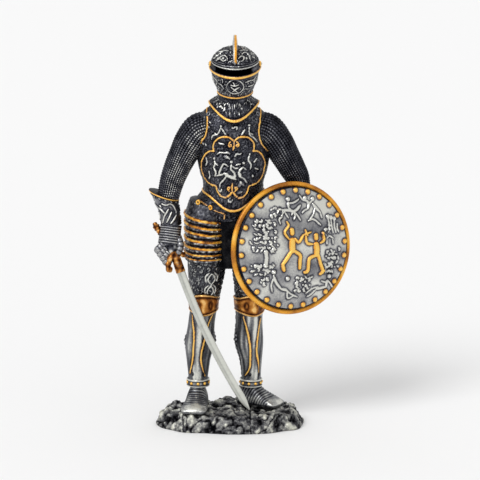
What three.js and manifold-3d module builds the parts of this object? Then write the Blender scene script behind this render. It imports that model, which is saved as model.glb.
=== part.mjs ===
// A pewter figurine of a knight in embossed parade armour, standing on a rough oval of ground.
// The right hand holds a curved sword, point to the ground, and the left arm a round shield.
// Millimetres, +Z up. The knight faces -Y, so the right arm is on the -X side.
// The origin is on the underside of the ground piece, below the knight's trunk.
import * as THREE from "three";
import { mergeVertices } from "three/addons/utils/BufferGeometryUtils.js";
import Module from "manifold-3d";

const wasm = await Module();
wasm.setup();

// Driving dimensions
const SOLE_GAP = 0.3;
const HAND_GAP = 0.2;
const FINEST_EDGE = 0.26;
const SHIELD_RADIUS = 18;
const SHIELD_DOME = 2.9;
const SHIELD_STEP = 0.8;
const SHIELD_PLATE = 0.9;
const SHIELD_TURN = THREE.MathUtils.degToRad(27.5);
const SHIELD_LEAN = THREE.MathUtils.degToRad(6);
const SHIELD_CENTRE = new THREE.Vector3(16, -6, 49.7);
const SHIELD_STUDS = 26;
const BLADE_HALF_WIDTH = 1.15;
const BLADE_HALF_THICKNESS = 0.36;
const BLADE_SAG = 1.3;
const LAME_COUNT = 7;
const LAME_PITCH = 1.78;
const GROUND_HALF_WIDTH = 20.3;
const GROUND_HALF_DEPTH = 11.4;
const GROUND_CENTRE_Y = -3.4;
const GROUND_HEIGHT = 4.4;

const FRONT = new THREE.Vector3(0, -1, 0);
const { sin, cos, abs, sign, max, min, PI, hypot } = Math;
const TAU = 2 * PI;
const at = (x, y, z) => new THREE.Vector3(x, y, z);
const radians = THREE.MathUtils.degToRad;
const mix = THREE.MathUtils.lerp;

// Solids and their joins

// A closed surface over rings of points that all run the same way round, with a fan over each end.
function skin(rings, closed = false) {
  const sides = rings[0].length;
  const points = rings.flat();
  const faces = [];
  const rows = closed ? rings.length : rings.length - 1;
  for (let row = 0; row < rows; row++) {
    const low = row * sides;
    const high = ((row + 1) % rings.length) * sides;
    for (let k = 0; k < sides; k++) {
      const next = (k + 1) % sides;
      faces.push(low + k, low + next, high + next, low + k, high + next, high + k);
    }
  }
  if (!closed) {
    const last = (rings.length - 1) * sides;
    points.push(middle(rings[0]), middle(rings.at(-1)));
    for (let k = 0; k < sides; k++) {
      const next = (k + 1) % sides;
      faces.push(points.length - 2, next, k);
      faces.push(points.length - 1, last + k, last + next);
    }
  }
  return new THREE.BufferGeometry().setFromPoints(points).setIndex(faces);
}

function middle(ring) {
  return ring.reduce((sum, p) => sum.add(p), at(0, 0, 0)).divideScalar(ring.length);
}

// A closed geometry as a solid that can be joined and cut, turned inside out if its faces point inwards.
function solid(geometry) {
  const bare = geometry.clone();
  bare.deleteAttribute("normal");
  bare.deleteAttribute("uv");
  const merged = mergeVertices(bare, 1e-4);
  const vertProperties = merged.attributes.position.array;
  const triVerts = new Uint32Array(merged.index.array);
  const made = new wasm.Manifold(new wasm.Mesh({ numProp: 3, vertProperties, triVerts }));
  if (made.volume() >= 0) return made;
  triVerts.reverse();
  return new wasm.Manifold(new wasm.Mesh({ numProp: 3, vertProperties, triVerts }));
}

function join(geometries) {
  return geometries.map(solid).reduce((sum, part) => sum.add(part));
}

// The outermost body of a joined solid, without the slivers that joining leaves. Hollows shut in
// between joined forms become solid.
function outermost(made) {
  const bodies = made.simplify(FINEST_EDGE).decompose();
  return bodies.reduce((best, part) => (part.volume() > best.volume() ? part : best));
}

function meshOf(name, made, material) {
  const { vertProperties, triVerts } = made.getMesh();
  const geometry = new THREE.BufferGeometry();
  geometry.setAttribute("position", new THREE.BufferAttribute(vertProperties, 3));
  geometry.setIndex(new THREE.BufferAttribute(triVerts, 1));
  geometry.computeVertexNormals();
  const mesh = new THREE.Mesh(geometry, material);
  mesh.name = name;
  return mesh;
}

// Upright forms: levels of a body, each with a half width, a front depth and a back depth

// A point on a level. Azimuth 0 is the front, and it turns towards +X. `face` turns the level's front,
// `round` above 2 squares it, `ridge` is a sharp front edge, `dip` hangs the front below the rest, more
// pointed with a higher `vee`, `tilt` drops the +X side, and `sunk` sets the front third back.
function onLevel(level, azimuth, grow = 0) {
  const { x = 0, y = 0, z, side, front, back, round = 2, face = 0 } = level;
  const { ridge = 0, dip = 0, vee = 1.5, tilt = 0, sunk = 0 } = level;
  const s = sin(azimuth);
  const c = cos(azimuth);
  const out = grow - (c > 0.5 ? sunk : 0);
  const across = (side + out) * sign(s) * abs(s) ** (2 / round);
  const depth = (c > 0 ? front : back) + out;
  const edge = ridge * max(0, c) ** 12;
  const ahead = depth * sign(c) * abs(c) ** (2 / round) + edge;
  return at(
    x + across * cos(face) + ahead * sin(face),
    y + across * sin(face) - ahead * cos(face),
    z - dip * max(0, c) ** vee - tilt * across,
  );
}

function ringOf(level, sides, grow = 0) {
  return Array.from({ length: sides }, (_, k) => onLevel(level, (k / sides) * TAU, grow));
}

function upright(levels, sides, grow = 0) {
  return skin(levels.map((level) => ringOf(level, sides, grow)));
}

// The level at height z between two given ones.
function levelAt(levels, z) {
  const upper = max(1, levels.findIndex((level) => level.z >= z));
  const a = levels[upper - 1];
  const b = levels[upper];
  const share = (z - a.z) / (b.z - a.z);
  const made = { z };
  const unset = { x: 0, y: 0, side: 0, front: 0, back: 0, round: 2, face: 0, ridge: 0 };
  for (const [key, value] of Object.entries(unset)) {
    made[key] = mix(a[key] ?? value, b[key] ?? value, share);
  }
  return made;
}

// The point on the front of a body at a given x and z.
function onFront(levels, x, z) {
  const level = levelAt(levels, z);
  const share = min(1, abs(x - level.x) / level.side);
  const azimuth = sign(x - level.x) * Math.asin(share ** (level.round / 2));
  return onLevel(level, azimuth);
}

// Slanted forms: stations along a limb, each [x, y, z, half width, half depth]

function limb(stations, sides, grow = 0) {
  const centres = stations.map(([x, y, z]) => at(x, y, z));
  const rings = stations.map(([, , , wide, deep = wide], i) => {
    const before = centres[max(0, i - 1)];
    const after = centres[min(centres.length - 1, i + 1)];
    const along = after.clone().sub(before).normalize();
    const ahead = FRONT.clone().addScaledVector(along, -FRONT.dot(along)).normalize();
    const across = along.clone().cross(ahead);
    return Array.from({ length: sides }, (_, k) => {
      const a = (k / sides) * TAU;
      const p = centres[i].clone().addScaledVector(across, (wide + grow) * sin(a));
      return p.addScaledVector(ahead, (deep + grow) * cos(a));
    });
  });
  return skin(rings);
}

// A round bar along points, with a radius or a list of radii. A closed one has no ends.
function bar(points, radius, sides = 5, closed = false) {
  const path = new THREE.CatmullRomCurve3(points, closed);
  const count = points.length;
  const frames = path.computeFrenetFrames(closed ? count : count - 1, closed);
  const rings = points.map((p, i) => {
    const r = Array.isArray(radius) ? radius[i] : radius;
    return Array.from({ length: sides }, (_, k) => {
      const a = (k / sides) * TAU;
      const out = frames.normals[i].clone().multiplyScalar(r * cos(a));
      return p.clone().add(out).addScaledVector(frames.binormals[i], r * sin(a));
    });
  });
  return skin(rings, closed);
}

// A gabled strip laid along points on a body, standing out from the upright line through `core`.
function welt(points, core, width, height) {
  const rings = points.map((p, i) => {
    const before = points[max(0, i - 1)];
    const after = points[min(points.length - 1, i + 1)];
    const along = after.clone().sub(before).normalize();
    const away = at(p.x - core.x, p.y - core.y, 0);
    const out = away.addScaledVector(along, -away.dot(along)).normalize();
    const across = along.clone().cross(out);
    const put = (u, h) => p.clone().addScaledVector(across, u).addScaledVector(out, h);
    return [put(width, -0.1), put(0, height), put(-width, -0.1), put(0, -0.5)];
  });
  return skin(rings);
}

// A small pointed stud at p, standing out along `out`, its foot a little way into the surface.
function stud(p, out, radius, sides = 4) {
  const geometry = new THREE.ConeGeometry(radius, radius * 1.2, sides);
  geometry.rotateX(PI / 2).translate(0, 0, radius * 0.3);
  const turn = new THREE.Quaternion().setFromUnitVectors(at(0, 0, 1), out.clone().normalize());
  return geometry.applyQuaternion(turn).translate(p.x, p.y, p.z);
}

// Head and neck

const HEAD_X = 1.1;
// From inside the neck guard, round its lower edge and up to the crown. The eye slot is the sunk levels.
const HEAD = [
  { x: 0.8, z: 86.0, side: 4.6, front: 4.0, back: 4.2 },
  { x: 0.8, z: 88.1, side: 6.0, front: 6.8, back: 5.6, dip: 3.6, vee: 2.7 },
  { x: 0.8, z: 88.3, side: 6.7, front: 8.1, back: 6.6, dip: 3.7, vee: 2.7, ridge: 0.3 },
  { x: 0.8, z: 88.9, side: 6.4, front: 7.8, back: 6.4, dip: 3.3, vee: 2.7, ridge: 0.3 },
  { x: 0.8, z: 89.6, side: 5.3, front: 6.7, back: 5.6, dip: 2.1, vee: 2.7, ridge: 0.2 },
  { x: 0.9, z: 90.4, side: 4.4, front: 5.7, back: 5.1, dip: 0.8 },
  { x: 1.0, z: 90.9, side: 4.2, front: 5.6, back: 5.0, dip: 0.3 },
  { z: 91.1, side: 4.8, front: 7.2, back: 5.8, ridge: 0.3, dip: 0.3 },
  { z: 91.8, side: 4.7, front: 7.3, back: 5.9, ridge: 0.4, dip: 0.3 },
  { z: 92.8, side: 5.0, front: 7.9, back: 6.3, ridge: 0.5, dip: 0.2 },
  { z: 94.6, side: 5.8, front: 8.4, back: 6.8, ridge: 0.6, dip: 0.4 },
  { z: 97.5, side: 6.5, front: 8.4, back: 7.1, ridge: 0.5, dip: 1.3 },
  { z: 97.8, side: 6.9, front: 8.7, back: 7.3, ridge: 0.4, dip: 1.3 },
  { z: 98.6, side: 6.9, front: 8.7, back: 7.3, ridge: 0.3, dip: 1.2 },
  { z: 98.7, side: 6.6, front: 7.9, back: 7.1, dip: 1.2, sunk: 0.9 },
  { z: 99.5, side: 6.5, front: 7.9, back: 7.1, dip: 1.0, sunk: 0.9 },
  { z: 99.6, side: 6.5, front: 8.0, back: 7.1, dip: 1.0 },
  { z: 100.7, side: 6.0, front: 6.9, back: 6.6, dip: 0.4 },
  { z: 102.1, side: 4.8, front: 5.3, back: 5.5 },
  { z: 103.1, side: 3.3, front: 3.5, back: 4.2 },
  { z: 103.6, side: 1.4, front: 1.6, back: 2.2 },
].map((level) => ({ x: HEAD_X, ...level }));

// The fin along the top of the helmet, thinner towards its edge, about the point `FIN_HEART`.
const FIN_HEART = at(HEAD_X, 0.4, 97.6);
const FIN_STEPS = 9;

function comb() {
  const rings = Array.from({ length: FIN_STEPS + 1 }, (_, i) => {
    const a = mix(radians(72), radians(-94), i / FIN_STEPS);
    const reach = 7.4 + 1.8 * max(0, cos(a)) ** 1.6;
    const put = (x, r) => FIN_HEART.clone().add(at(x, -r * sin(a), r * cos(a)));
    return [put(-0.7, 5.0), put(-0.3, reach), put(0.3, reach), put(0.7, 5.0)];
  });
  return skin(rings);
}

function head() {
  return join([upright(HEAD, 18), comb()]);
}

// Trunk

const TRUNK = [
  { z: 64.0, side: 6.6, front: 7.4, back: 4.4, dip: 3.9, vee: 5 },
  { z: 64.1, side: 8.5, front: 9.4, back: 5.8, dip: 3.9, vee: 5, ridge: 0.2 },
  { z: 64.8, side: 8.2, front: 9.4, back: 5.6, dip: 3.8, vee: 5, ridge: 0.2 },
  { z: 66.4, side: 8.2, front: 9.3, back: 5.3, dip: 1.6, vee: 3, ridge: 0.3 },
  { z: 70.0, side: 9.2, front: 9.2, back: 5.9, ridge: 0.3 },
  { z: 74.0, side: 9.8, front: 8.6, back: 6.4, ridge: 0.2 },
  { z: 78.0, side: 9.7, front: 7.9, back: 6.6, ridge: 0.2 },
  { z: 82.0, side: 9.6, front: 6.9, back: 6.2 },
  { z: 85.4, side: 8.6, front: 5.8, back: 5.4 },
  { z: 87.6, side: 6.0, front: 4.6, back: 4.4 },
].map((level) => ({ ...level, x: 0.6, round: 2.15 }));
const CHEST = TRUNK.slice(2);
const HIPS = [
  { x: -0.3, z: 43.6, side: 9.6, front: 5.0, back: 5.8 },
  { x: -0.3, z: 46.0, side: 10.4, front: 5.6, back: 6.6 },
  { x: -0.3, z: 52.0, side: 11.0, front: 6.2, back: 7.4 },
  { x: -0.2, z: 58.0, side: 10.9, front: 7.0, back: 7.3 },
  { x: 0.1, z: 61.5, side: 9.8, front: 7.9, back: 6.4 },
  { x: 0.5, z: 65.0, side: 7.7, front: 7.9, back: 5.2 },
];

// Half of the cartouche on the breastplate: three lobes from the top scroll to the bottom one.
const CARTOUCHE_HALF = [
  [0.5, 79.4], [2.2, 80.3], [4.3, 80.0], [5.5, 78.4], [5.6, 76.8], [7.5, 75.5], [8.2, 72.6],
  [7.5, 69.4], [6.0, 67.6], [4.7, 67.3], [4.2, 65.2], [2.5, 64.0], [0.9, 65.0],
];
const ARMHOLE = [[7.6, 85.0], [7.1, 82.0], [6.9, 79.0], [7.9, 76.4], [9.5, 74.4]];

function trunkWelt(outline, way, width, height) {
  const points = outline.map(([x, z]) => onFront(CHEST, 0.6 + way * x, z));
  return welt(points, at(0.6, 0, 0), width, height);
}

// Buckles and bosses on the shoulders and the upper hip plate: [x, y, z, radius].
const BOSSES = [
  [-5.9, -4.3, 86.0, 1.0], [7.1, -4.3, 86.0, 1.0],
  [-7.2, -5.2, 63.6, 0.9], [-5.3, -7.8, 59.6, 0.95], [-8.9, -5.3, 61.6, 0.95],
];

function bosses() {
  const raised = BOSSES.map(([x, y, z, r]) => stud(at(x, y, z), at(x / 3, -7, 1), r));
  const hanger = [at(-8.9, -5.6, 61.4), at(-7.2, -7.3, 60.4), at(-5.4, -8.1, 59.4)];
  return [...raised, welt(hanger, at(0, 0, 0), 0.4, 0.5)];
}

function trunk() {
  return join([
    upright(TRUNK, 20),
    upright(HIPS, 14),
    ...[1, -1].flatMap((way) => [
      trunkWelt(CARTOUCHE_HALF, way, 0.42, 0.42),
      trunkWelt(ARMHOLE, way, 0.4, 0.4),
    ]),
    ...bosses(),
  ]);
}

// Legs. `way` is -1 for the right leg, on the -X side, and 1 for the left.

// A tasset of overlapping lames, each with its lower edge standing out, and a plain plate above.
function tasset(way) {
  const reach = { from: radians(way * 42), to: radians(-way * 150) };
  const sides = 8;
  const cut = (z, grow) => {
    const lean = { x: way * 6.5 - 0.2, y: -0.5, z, side: 5.7, front: 7.3, back: 7.2, round: 2.2 };
    return Array.from({ length: sides }, (_, k) => {
      const p = onLevel(lean, -mix(reach.from, reach.to, k / (sides - 1)), grow);
      p.z -= 0.05 * (p.x * -way + 6);
      return p;
    });
  };
  const foot = 57.0 - (LAME_COUNT - 1) * LAME_PITCH;
  const rings = [cut(foot - 0.1, -1.2)];
  for (let i = 0; i < LAME_COUNT; i++) {
    const z = foot + i * LAME_PITCH;
    rings.push(cut(z, 0.5), cut(z + 0.6, 0.45), cut(z + LAME_PITCH - 0.05, -0.15));
  }
  rings.push(cut(61.4, -1.3));
  return skin(rings);
}

const RIGHT_THIGH = [
  { x: -7.3, y: -0.8, z: 32.0, side: 3.7, front: 4.3, back: 4.0 },
  { x: -6.9, y: -0.7, z: 36.6, side: 4.1, front: 5.0, back: 4.9 },
  { x: -6.6, y: -0.6, z: 42.0, side: 4.9, front: 5.8, back: 5.8 },
  { x: -6.4, y: -0.5, z: 48.0, side: 5.3, front: 6.2, back: 6.3 },
];
const LEFT_THIGH = [
  { x: 4.9, y: -0.2, z: 32.0, side: 3.7, front: 4.3, back: 4.0, face: 0.3 },
  { x: 5.2, y: -0.1, z: 36.6, side: 4.1, front: 5.0, back: 4.9, face: 0.3 },
  { x: 5.4, y: -0.3, z: 42.0, side: 4.9, front: 5.6, back: 5.8, face: 0.2 },
  { x: 5.6, y: -0.5, z: 48.0, side: 5.3, front: 6.2, back: 6.3 },
];
// A shin from the ankle, with the band round the ankle standing out, up into the knee.
function shin([ankle, calfLow, calf, below, knee]) {
  const band = { ...ankle, side: ankle.side + 0.4, front: ankle.front + 0.4, back: ankle.back + 0.4 };
  return [
    { ...ankle, z: ankle.z - 1.2 },
    { ...band, z: ankle.z - 1.0 },
    { ...band, z: ankle.z + 0.9 },
    { ...ankle, z: ankle.z + 1.1, ridge: 0.3 },
    ...[calfLow, calf, below, knee].map((level) => ({ ...level, ridge: 0.4, face: ankle.face })),
  ];
}

const RIGHT_SHIN = shin([
  { x: -8.9, y: -1.8, z: 11.6, side: 2.6, front: 2.8, back: 2.7, face: 0 },
  { x: -8.8, y: -1.2, z: 17.2, side: 3.1, front: 3.3, back: 3.7 },
  { x: -8.4, y: -0.7, z: 22.2, side: 3.9, front: 3.8, back: 4.7 },
  { x: -7.9, y: -0.7, z: 28.0, side: 3.6, front: 3.9, back: 4.2 },
  { x: -7.4, y: -0.8, z: 32.5, side: 3.6, front: 4.2, back: 3.9 },
]);
const LEFT_SHIN = shin([
  { x: 5.4, y: -0.3, z: 11.2, side: 2.5, front: 2.7, back: 2.7, face: 0.42 },
  { x: 5.3, y: 0.1, z: 17.2, side: 2.9, front: 3.2, back: 3.6 },
  { x: 4.9, y: 0.3, z: 22.6, side: 3.8, front: 3.7, back: 4.6 },
  { x: 4.9, y: 0.1, z: 28.0, side: 3.6, front: 3.9, back: 4.2 },
  { x: 4.9, y: -0.2, z: 32.5, side: 3.6, front: 4.2, back: 3.9 },
]);

// The knee cop, with a gabled top edge and a ridge down its front.
function kneeCop(x, y, z, face) {
  const base = { x, y, side: 4.2, front: 5.4, back: 3.4, round: 2.2, face, ridge: 0.8, vee: 2.5 };
  const low = { ...base, z: z - 1.7, side: 3.6, front: 4.4, ridge: 0.3, dip: 0.9 };
  const lowMid = { ...base, z: z - 0.9, side: 4.0, dip: 0.7 };
  const highMid = { ...base, z: z + 1.5, dip: -1.2 };
  const high = { ...base, z: z + 2.3, side: 4.1, front: 5.2, ridge: 0.5, dip: -1.4 };
  const cap = { ...high, z: z + 2.1, side: 3.3, front: 4.2, ridge: 0.2 };
  return upright([low, lowMid, highMid, high, cap], 12);
}

// A hinge that stands out on each side of the calf.
function calfHinges(levels, z) {
  return [-1, 1].map((way) => {
    const points = [3.0, 0.6, -3.0].map((up) => onLevel(levelAt(levels, z + up), way * 1.7, -0.35));
    return bar(points, [0.3, 0.9, 0.3], 4);
  });
}

// A broad-toed plated boot with a flat sole, along `heading`, which is 0 for straight ahead.
function boot(heelX, heelY, heading, soleZ, length, grow = 0) {
  const sections = [
    [-0.1, 1.6, 3.4], [0.9, 2.5, 5.4], [2.9, 2.8, 6.6], [5.2, 2.9, 6.2], [7.4, 3.1, 4.4],
    [10.2, 3.6, 2.9], [12.4, 3.5, 1.7], [13.3, 2.9, 0.9],
  ];
  const ahead = at(sin(heading), -cos(heading), 0);
  const across = at(cos(heading), sin(heading), 0);
  const arcSteps = 5;
  const rings = sections.map(([s, wide, tall], i) => {
    const last = i === sections.length - 1 ? grow : i === 0 ? -grow : 0;
    const c = at(heelX, heelY, soleZ).addScaledVector(ahead, s * length + last);
    const put = (u, h) => c.clone().addScaledVector(across, u).add(at(0, 0, h));
    const ring = [put(-wide - grow, -grow), put(wide + grow, -grow)];
    for (let k = 0; k <= arcSteps; k++) {
      const a = (k / arcSteps) * PI;
      ring.push(put((wide + grow) * cos(a), 0.5 + (tall + grow - 0.5) * sin(a) ** 0.85));
    }
    return ring;
  });
  return skin(rings);
}

const RIGHT_BOOT = [-8.6, 1.0, radians(-7), 5.0, 1];
const LEFT_BOOT = [2.3, 1.5, radians(62), 5.3, 0.93];

function legs() {
  return join([
    tasset(-1),
    tasset(1),
    upright(RIGHT_THIGH, 12),
    upright(LEFT_THIGH, 12),
    upright(RIGHT_SHIN, 12),
    upright(LEFT_SHIN, 12),
    kneeCop(-7.4, -0.9, 33.2, 0),
    kneeCop(4.9, -0.3, 32.9, 0.25),
    ...calfHinges(RIGHT_SHIN, 22.0),
    ...calfHinges(LEFT_SHIN, 22.0),
    boot(...RIGHT_BOOT),
    boot(...LEFT_BOOT),
  ]);
}

// Arms

const RIGHT_SLEEVE = [
  [-5.0, 0.3, 81.8, 4.2, 4.6], [-8.2, 0.3, 80.9, 4.6, 5.0], [-10.9, 0.3, 77.6, 4.4, 4.7],
  [-12.8, 0.2, 74.2, 3.9, 4.3], [-14.4, 0.0, 70.8, 3.6, 4.0], [-15.8, -0.4, 67.2, 3.3, 3.6],
  [-17.0, -1.6, 62.5, 2.8, 3.0],
];
const LEFT_SLEEVE = [
  [6.2, 0.3, 81.8, 4.2, 4.6], [9.5, 0.3, 80.8, 4.6, 5.0], [12.4, 0.4, 77.5, 4.3, 4.7],
  [14.5, 0.9, 73.8, 3.9, 4.3], [16.4, 1.7, 70.2, 3.6, 4.0], [18.0, 2.6, 66.8, 3.2, 3.6],
  [18.7, 2.6, 62.0, 2.9, 3.0],
];
// Each gauntlet runs from the wrist up to the flared lip of its cuff.
const RIGHT_CUFF = [
  { x: -16.1, y: -4.4, z: 55.9, side: 2.7, front: 2.5, back: 2.5 },
  { x: -16.6, y: -3.3, z: 58.8, side: 2.9, front: 3.0, back: 3.0, tilt: 0.1 },
  { x: -17.4, y: -2.0, z: 61.4, side: 3.4, front: 3.6, back: 3.6, tilt: 0.25 },
  { x: -17.9, y: -1.4, z: 62.8, side: 3.8, front: 4.0, back: 4.0, tilt: 0.32 },
  { x: -18.1, y: -1.2, z: 63.5, side: 4.1, front: 4.3, back: 4.2, tilt: 0.34 },
  { x: -18.1, y: -1.2, z: 63.6, side: 3.4, front: 3.6, back: 3.5, tilt: 0.34 },
];
const LEFT_CUFF = [
  { x: 15.5, y: -2.3, z: 52.3, side: 2.7, front: 2.4, back: 2.4 },
  { x: 17.2, y: 0.2, z: 57.2, side: 2.8, front: 2.9, back: 3.0 },
  { x: 18.2, y: 2.0, z: 60.8, side: 3.3, front: 3.4, back: 3.5, tilt: -0.1 },
  { x: 18.6, y: 2.7, z: 62.5, side: 3.7, front: 3.8, back: 3.9, tilt: -0.1 },
  { x: 18.7, y: 3.0, z: 63.3, side: 4.0, front: 4.0, back: 4.2, tilt: -0.1 },
  { x: 18.7, y: 3.1, z: 63.4, side: 3.3, front: 3.3, back: 3.5, tilt: -0.1 },
];

// The back of the hand, in lames that step out downwards.
function handPlates(wrist, knuckles, lames) {
  const stations = [];
  for (let i = 0; i <= lames; i++) {
    const share = i / lames;
    const place = wrist.map((value, k) => mix(value, knuckles[k], share));
    const [x, y, z, wide, deep] = place;
    stations.push([x, y, z + 0.12, wide + 0.22, deep + 0.22], [x, y, z - 0.12, wide - 0.1, deep - 0.1]);
  }
  return limb(stations, 8);
}

// Four fingers closed round a grip. Each runs from the knuckle over the front and back under the palm.
function fingers(knuckle, stack, out, under) {
  return [0, 1, 2, 3].map((i) => {
    const base = knuckle.clone().addScaledVector(stack, i * 1.32);
    const bend = base.clone().add(out);
    const tip = bend.clone().add(under);
    return bar([base, bend, mixPoint(bend, tip, 0.5), tip], [0.8, 0.95, 0.9, 0.6], 4);
  });
}

function mixPoint(a, b, share) {
  return a.clone().lerp(b, share);
}

function rightArm() {
  const thumb = [at(-14.4, -5.2, 53.2), at(-13.6, -6.6, 50.4), at(-14.3, -7.6, 48.2)];
  return join([
    limb(RIGHT_SLEEVE, 12),
    upright(RIGHT_CUFF, 12),
    handPlates([-16.1, -4.5, 55.6, 2.8, 2.3], [-16.7, -5.7, 50.6, 3.0, 2.0], 3),
    limb([[-16.7, -5.4, 51.4, 2.9, 2.1], [-16.6, -5.4, 49.0, 2.7, 2.1], [-16.0, -5.3, 47.4, 1.6, 1.5]], 8),
    ...fingers(at(-18.0, -6.6, 51.2), at(0.55, 0, -0.83), at(-1.7, -0.2, -1.9), at(1.2, 2.6, -0.6)),
    bar(thumb, [0.9, 0.95, 0.7], 4),
  ]);
}

function leftArm() {
  const thumb = [at(13.2, -3.0, 50.2), at(12.5, -4.6, 48.0), at(13.2, -5.4, 46.4)];
  return join([
    limb(LEFT_SLEEVE, 12),
    upright(LEFT_CUFF, 12),
    handPlates([15.5, -2.5, 52.5, 2.7, 2.2], [14.9, -3.3, 48.2, 2.8, 2.0], 2),
    limb([[14.9, -3.2, 49.0, 2.7, 2.1], [14.8, -3.4, 46.6, 2.6, 2.2], [14.7, -3.4, 45.2, 1.5, 1.4]], 8),
    bar(thumb, [0.9, 0.95, 0.7], 4),
  ]);
}

// Sword

const GRIP_TOP = at(-20.1, -3.7, 55.0);
const GRIP_FOOT = at(-15.2, -6.5, 47.4);
const BLADE_TOP = at(-13.9, -6.9, 44.4);
const BLADE_TIP = at(5.0, -8.2, 5.2);

function blade() {
  const line = BLADE_TIP.clone().sub(BLADE_TOP);
  const bow = at(line.z, 0, -line.x).normalize().multiplyScalar(BLADE_SAG * 2);
  const control = mixPoint(BLADE_TOP, BLADE_TIP, 0.5).add(bow);
  const path = new THREE.QuadraticBezierCurve3(BLADE_TOP, control, BLADE_TIP);
  const steps = 10;
  const pointFrom = 0.9;
  const rings = Array.from({ length: steps + 1 }, (_, i) => {
    const t = i / steps;
    const p = path.getPoint(t);
    const along = path.getTangent(t);
    const across = at(-along.z, 0, along.x).normalize();
    const taper = t < pointFrom ? 1 : mix(1, 0.12, (t - pointFrom) / (1 - pointFrom));
    const wide = BLADE_HALF_WIDTH * mix(1, 0.92, t) * taper;
    const thick = BLADE_HALF_THICKNESS * mix(1, 0.8, t) * taper;
    const corner = (u, v) => p.clone().addScaledVector(across, u).add(at(0, v, 0));
    return [corner(wide, 0), corner(0.4 * wide, thick), corner(-0.4 * wide, thick),
      corner(-wide, 0), corner(-0.4 * wide, -thick), corner(0.4 * wide, -thick)];
  });
  return skin(rings);
}

// The hilt, grown all round by `grow` where it is used to open the hand.
function hilt(grow = 0) {
  const guard = [
    at(-12.3, -6.2, 47.6), at(-13.8, -6.6, 48.2), at(-15.4, -7.0, 48.0), at(-16.6, -7.3, 46.7),
    at(-16.9, -7.4, 44.8), at(-16.1, -7.4, 43.2),
  ];
  const guardRadii = [0.7, 0.8, 0.85, 0.8, 0.8, 0.95].map((r) => r + grow);
  return [
    bar([GRIP_TOP, GRIP_FOOT, BLADE_TOP], 0.75 + grow, 7),
    bar([GRIP_TOP.clone().add(at(-0.5, 0.25, 0.9)), GRIP_TOP, mixPoint(GRIP_TOP, GRIP_FOOT, 0.12)],
      [0.5 + grow, 0.95 + grow, 0.9 + grow], 7),
    bar(guard, guardRadii, 6),
    limb([[-15.0, -6.6, 47.6, 1.2 + grow, 0.9 + grow], [-13.5, -7.0, 43.2, 1.3 + grow, 0.75 + grow]], 7),
  ];
}

function sword() {
  return join([blade(), ...hilt()]);
}

// Shield, in its own frame: +Z out of its face, +Y up, with the rim in the plane z = 0

const rise = (r) => SHIELD_STEP + SHIELD_DOME * (1 - (r / SHIELD_RADIUS) ** 2);

function shieldPlate() {
  const edge = SHIELD_RADIUS - 1.0;
  const steps = 3;
  const profile = [new THREE.Vector2(0, rise(0))];
  for (let i = 1; i <= steps; i++) {
    const r = (edge * i) / steps;
    profile.push(new THREE.Vector2(r, rise(r)));
  }
  const rim = 0.7;
  for (let k = 0; k < 5; k++) {
    const a = PI * (0.8 - (k / 4) * 1.4);
    profile.push(new THREE.Vector2(SHIELD_RADIUS - rim + rim * cos(a), rim * sin(a)));
  }
  for (let i = 2; i >= 0; i--) {
    const r = ((edge - 0.4) * i) / 2;
    profile.push(new THREE.Vector2(r, rise(r) - SHIELD_PLATE));
  }
  const turned = new THREE.LatheGeometry(profile.reverse(), 28);
  turned.rotateX(PI / 2);
  return turned;
}

function studs() {
  return Array.from({ length: SHIELD_STUDS }, (_, k) => {
    const a = (k / SHIELD_STUDS) * TAU;
    const r = SHIELD_RADIUS - 2.2;
    return stud(at(r * cos(a), r * sin(a), rise(r)), at(0.2 * cos(a), 0.2 * sin(a), 1), 0.9);
  });
}

// A small figure in relief: limbs, each a run of (x, y) points, set down at `place` and turned.
function reliefFigure(limbs, place, width, size = 1, turn = 0) {
  return limbs.map((run) => {
    const points = run.map(([x, y]) => {
      const u = place[0] + size * (x * cos(turn) - y * sin(turn));
      const v = place[1] + size * (x * sin(turn) + y * cos(turn));
      return at(u, v, rise(hypot(u, v)));
    });
    const rings = points.map((p, i) => {
      const along = points[min(points.length - 1, i + 1)].clone().sub(points[max(0, i - 1)]);
      const across = at(-along.y, along.x, 0).normalize();
      const put = (u, h) => p.clone().addScaledVector(across, u).add(at(0, 0, h));
      return [put(width, -0.1), put(0, width * 0.9), put(-width, -0.1), put(0, -0.5)];
    });
    return skin(rings);
  });
}

const STRIKER = [
  [[0, -0.4], [0.1, 3.2]],
  [[0.1, 3.8], [0.2, 5.6]],
  [[-0.8, 3.0], [-1.9, 5.2], [-0.7, 6.9], [-1.1, 8.0]],
  [[0.8, 3.0], [2.0, 2.1], [3.6, 4.0], [5.4, 4.6]],
  [[-0.2, 0.2], [-1.7, -1.8], [-3.1, -3.2], [-2.7, -5.0]],
  [[0.2, 0], [2.1, -1.3], [2.0, -5.0]],
];
const PARRIER = [
  [[0, -0.4], [0, 3.2]],
  [[0, 3.6], [0, 5.2]],
  [[-0.9, 2.9], [-2.8, 3.3], [-3.3, 5.4]],
  [[0.9, 2.9], [2.4, 3.7], [2.1, 5.7]],
  [[-0.2, 0], [-2.6, -0.9], [-3.0, -4.1], [-4.0, -4.3]],
  [[0.2, 0], [1.0, -2.4], [1.8, -4.7], [0.9, -5.4]],
];
const RIDER = [
  [[-3.2, 0.2], [0.5, -0.3], [2.0, -0.6], [3.4, 1.2]],
  [[2.0, -0.6], [3.0, -2.6]],
  [[-2.8, 0.2], [-2.2, -2.0], [-3.4, -3.0]],
  [[0, 0.4], [0.1, 3.2]],
  [[0.1, 2.2], [1.6, 2.0], [3.2, 2.8]],
];
const SITTER = [
  [[-2.6, 3.6], [-1.4, 1.4], [1.6, -0.8], [2.0, -3.0], [3.4, -2.6]],
  [[-2.2, 2.4], [-2.7, -0.6]],
];
const TREE = [
  [[0, 1.0], [0, -3.8]],
  [[-3.2, 0.8], [-1.5, 2.8], [1.0, 3.0], [3.2, 0.8]],
  [[-2.6, 0.2], [2.6, 0.0]],
];
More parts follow.
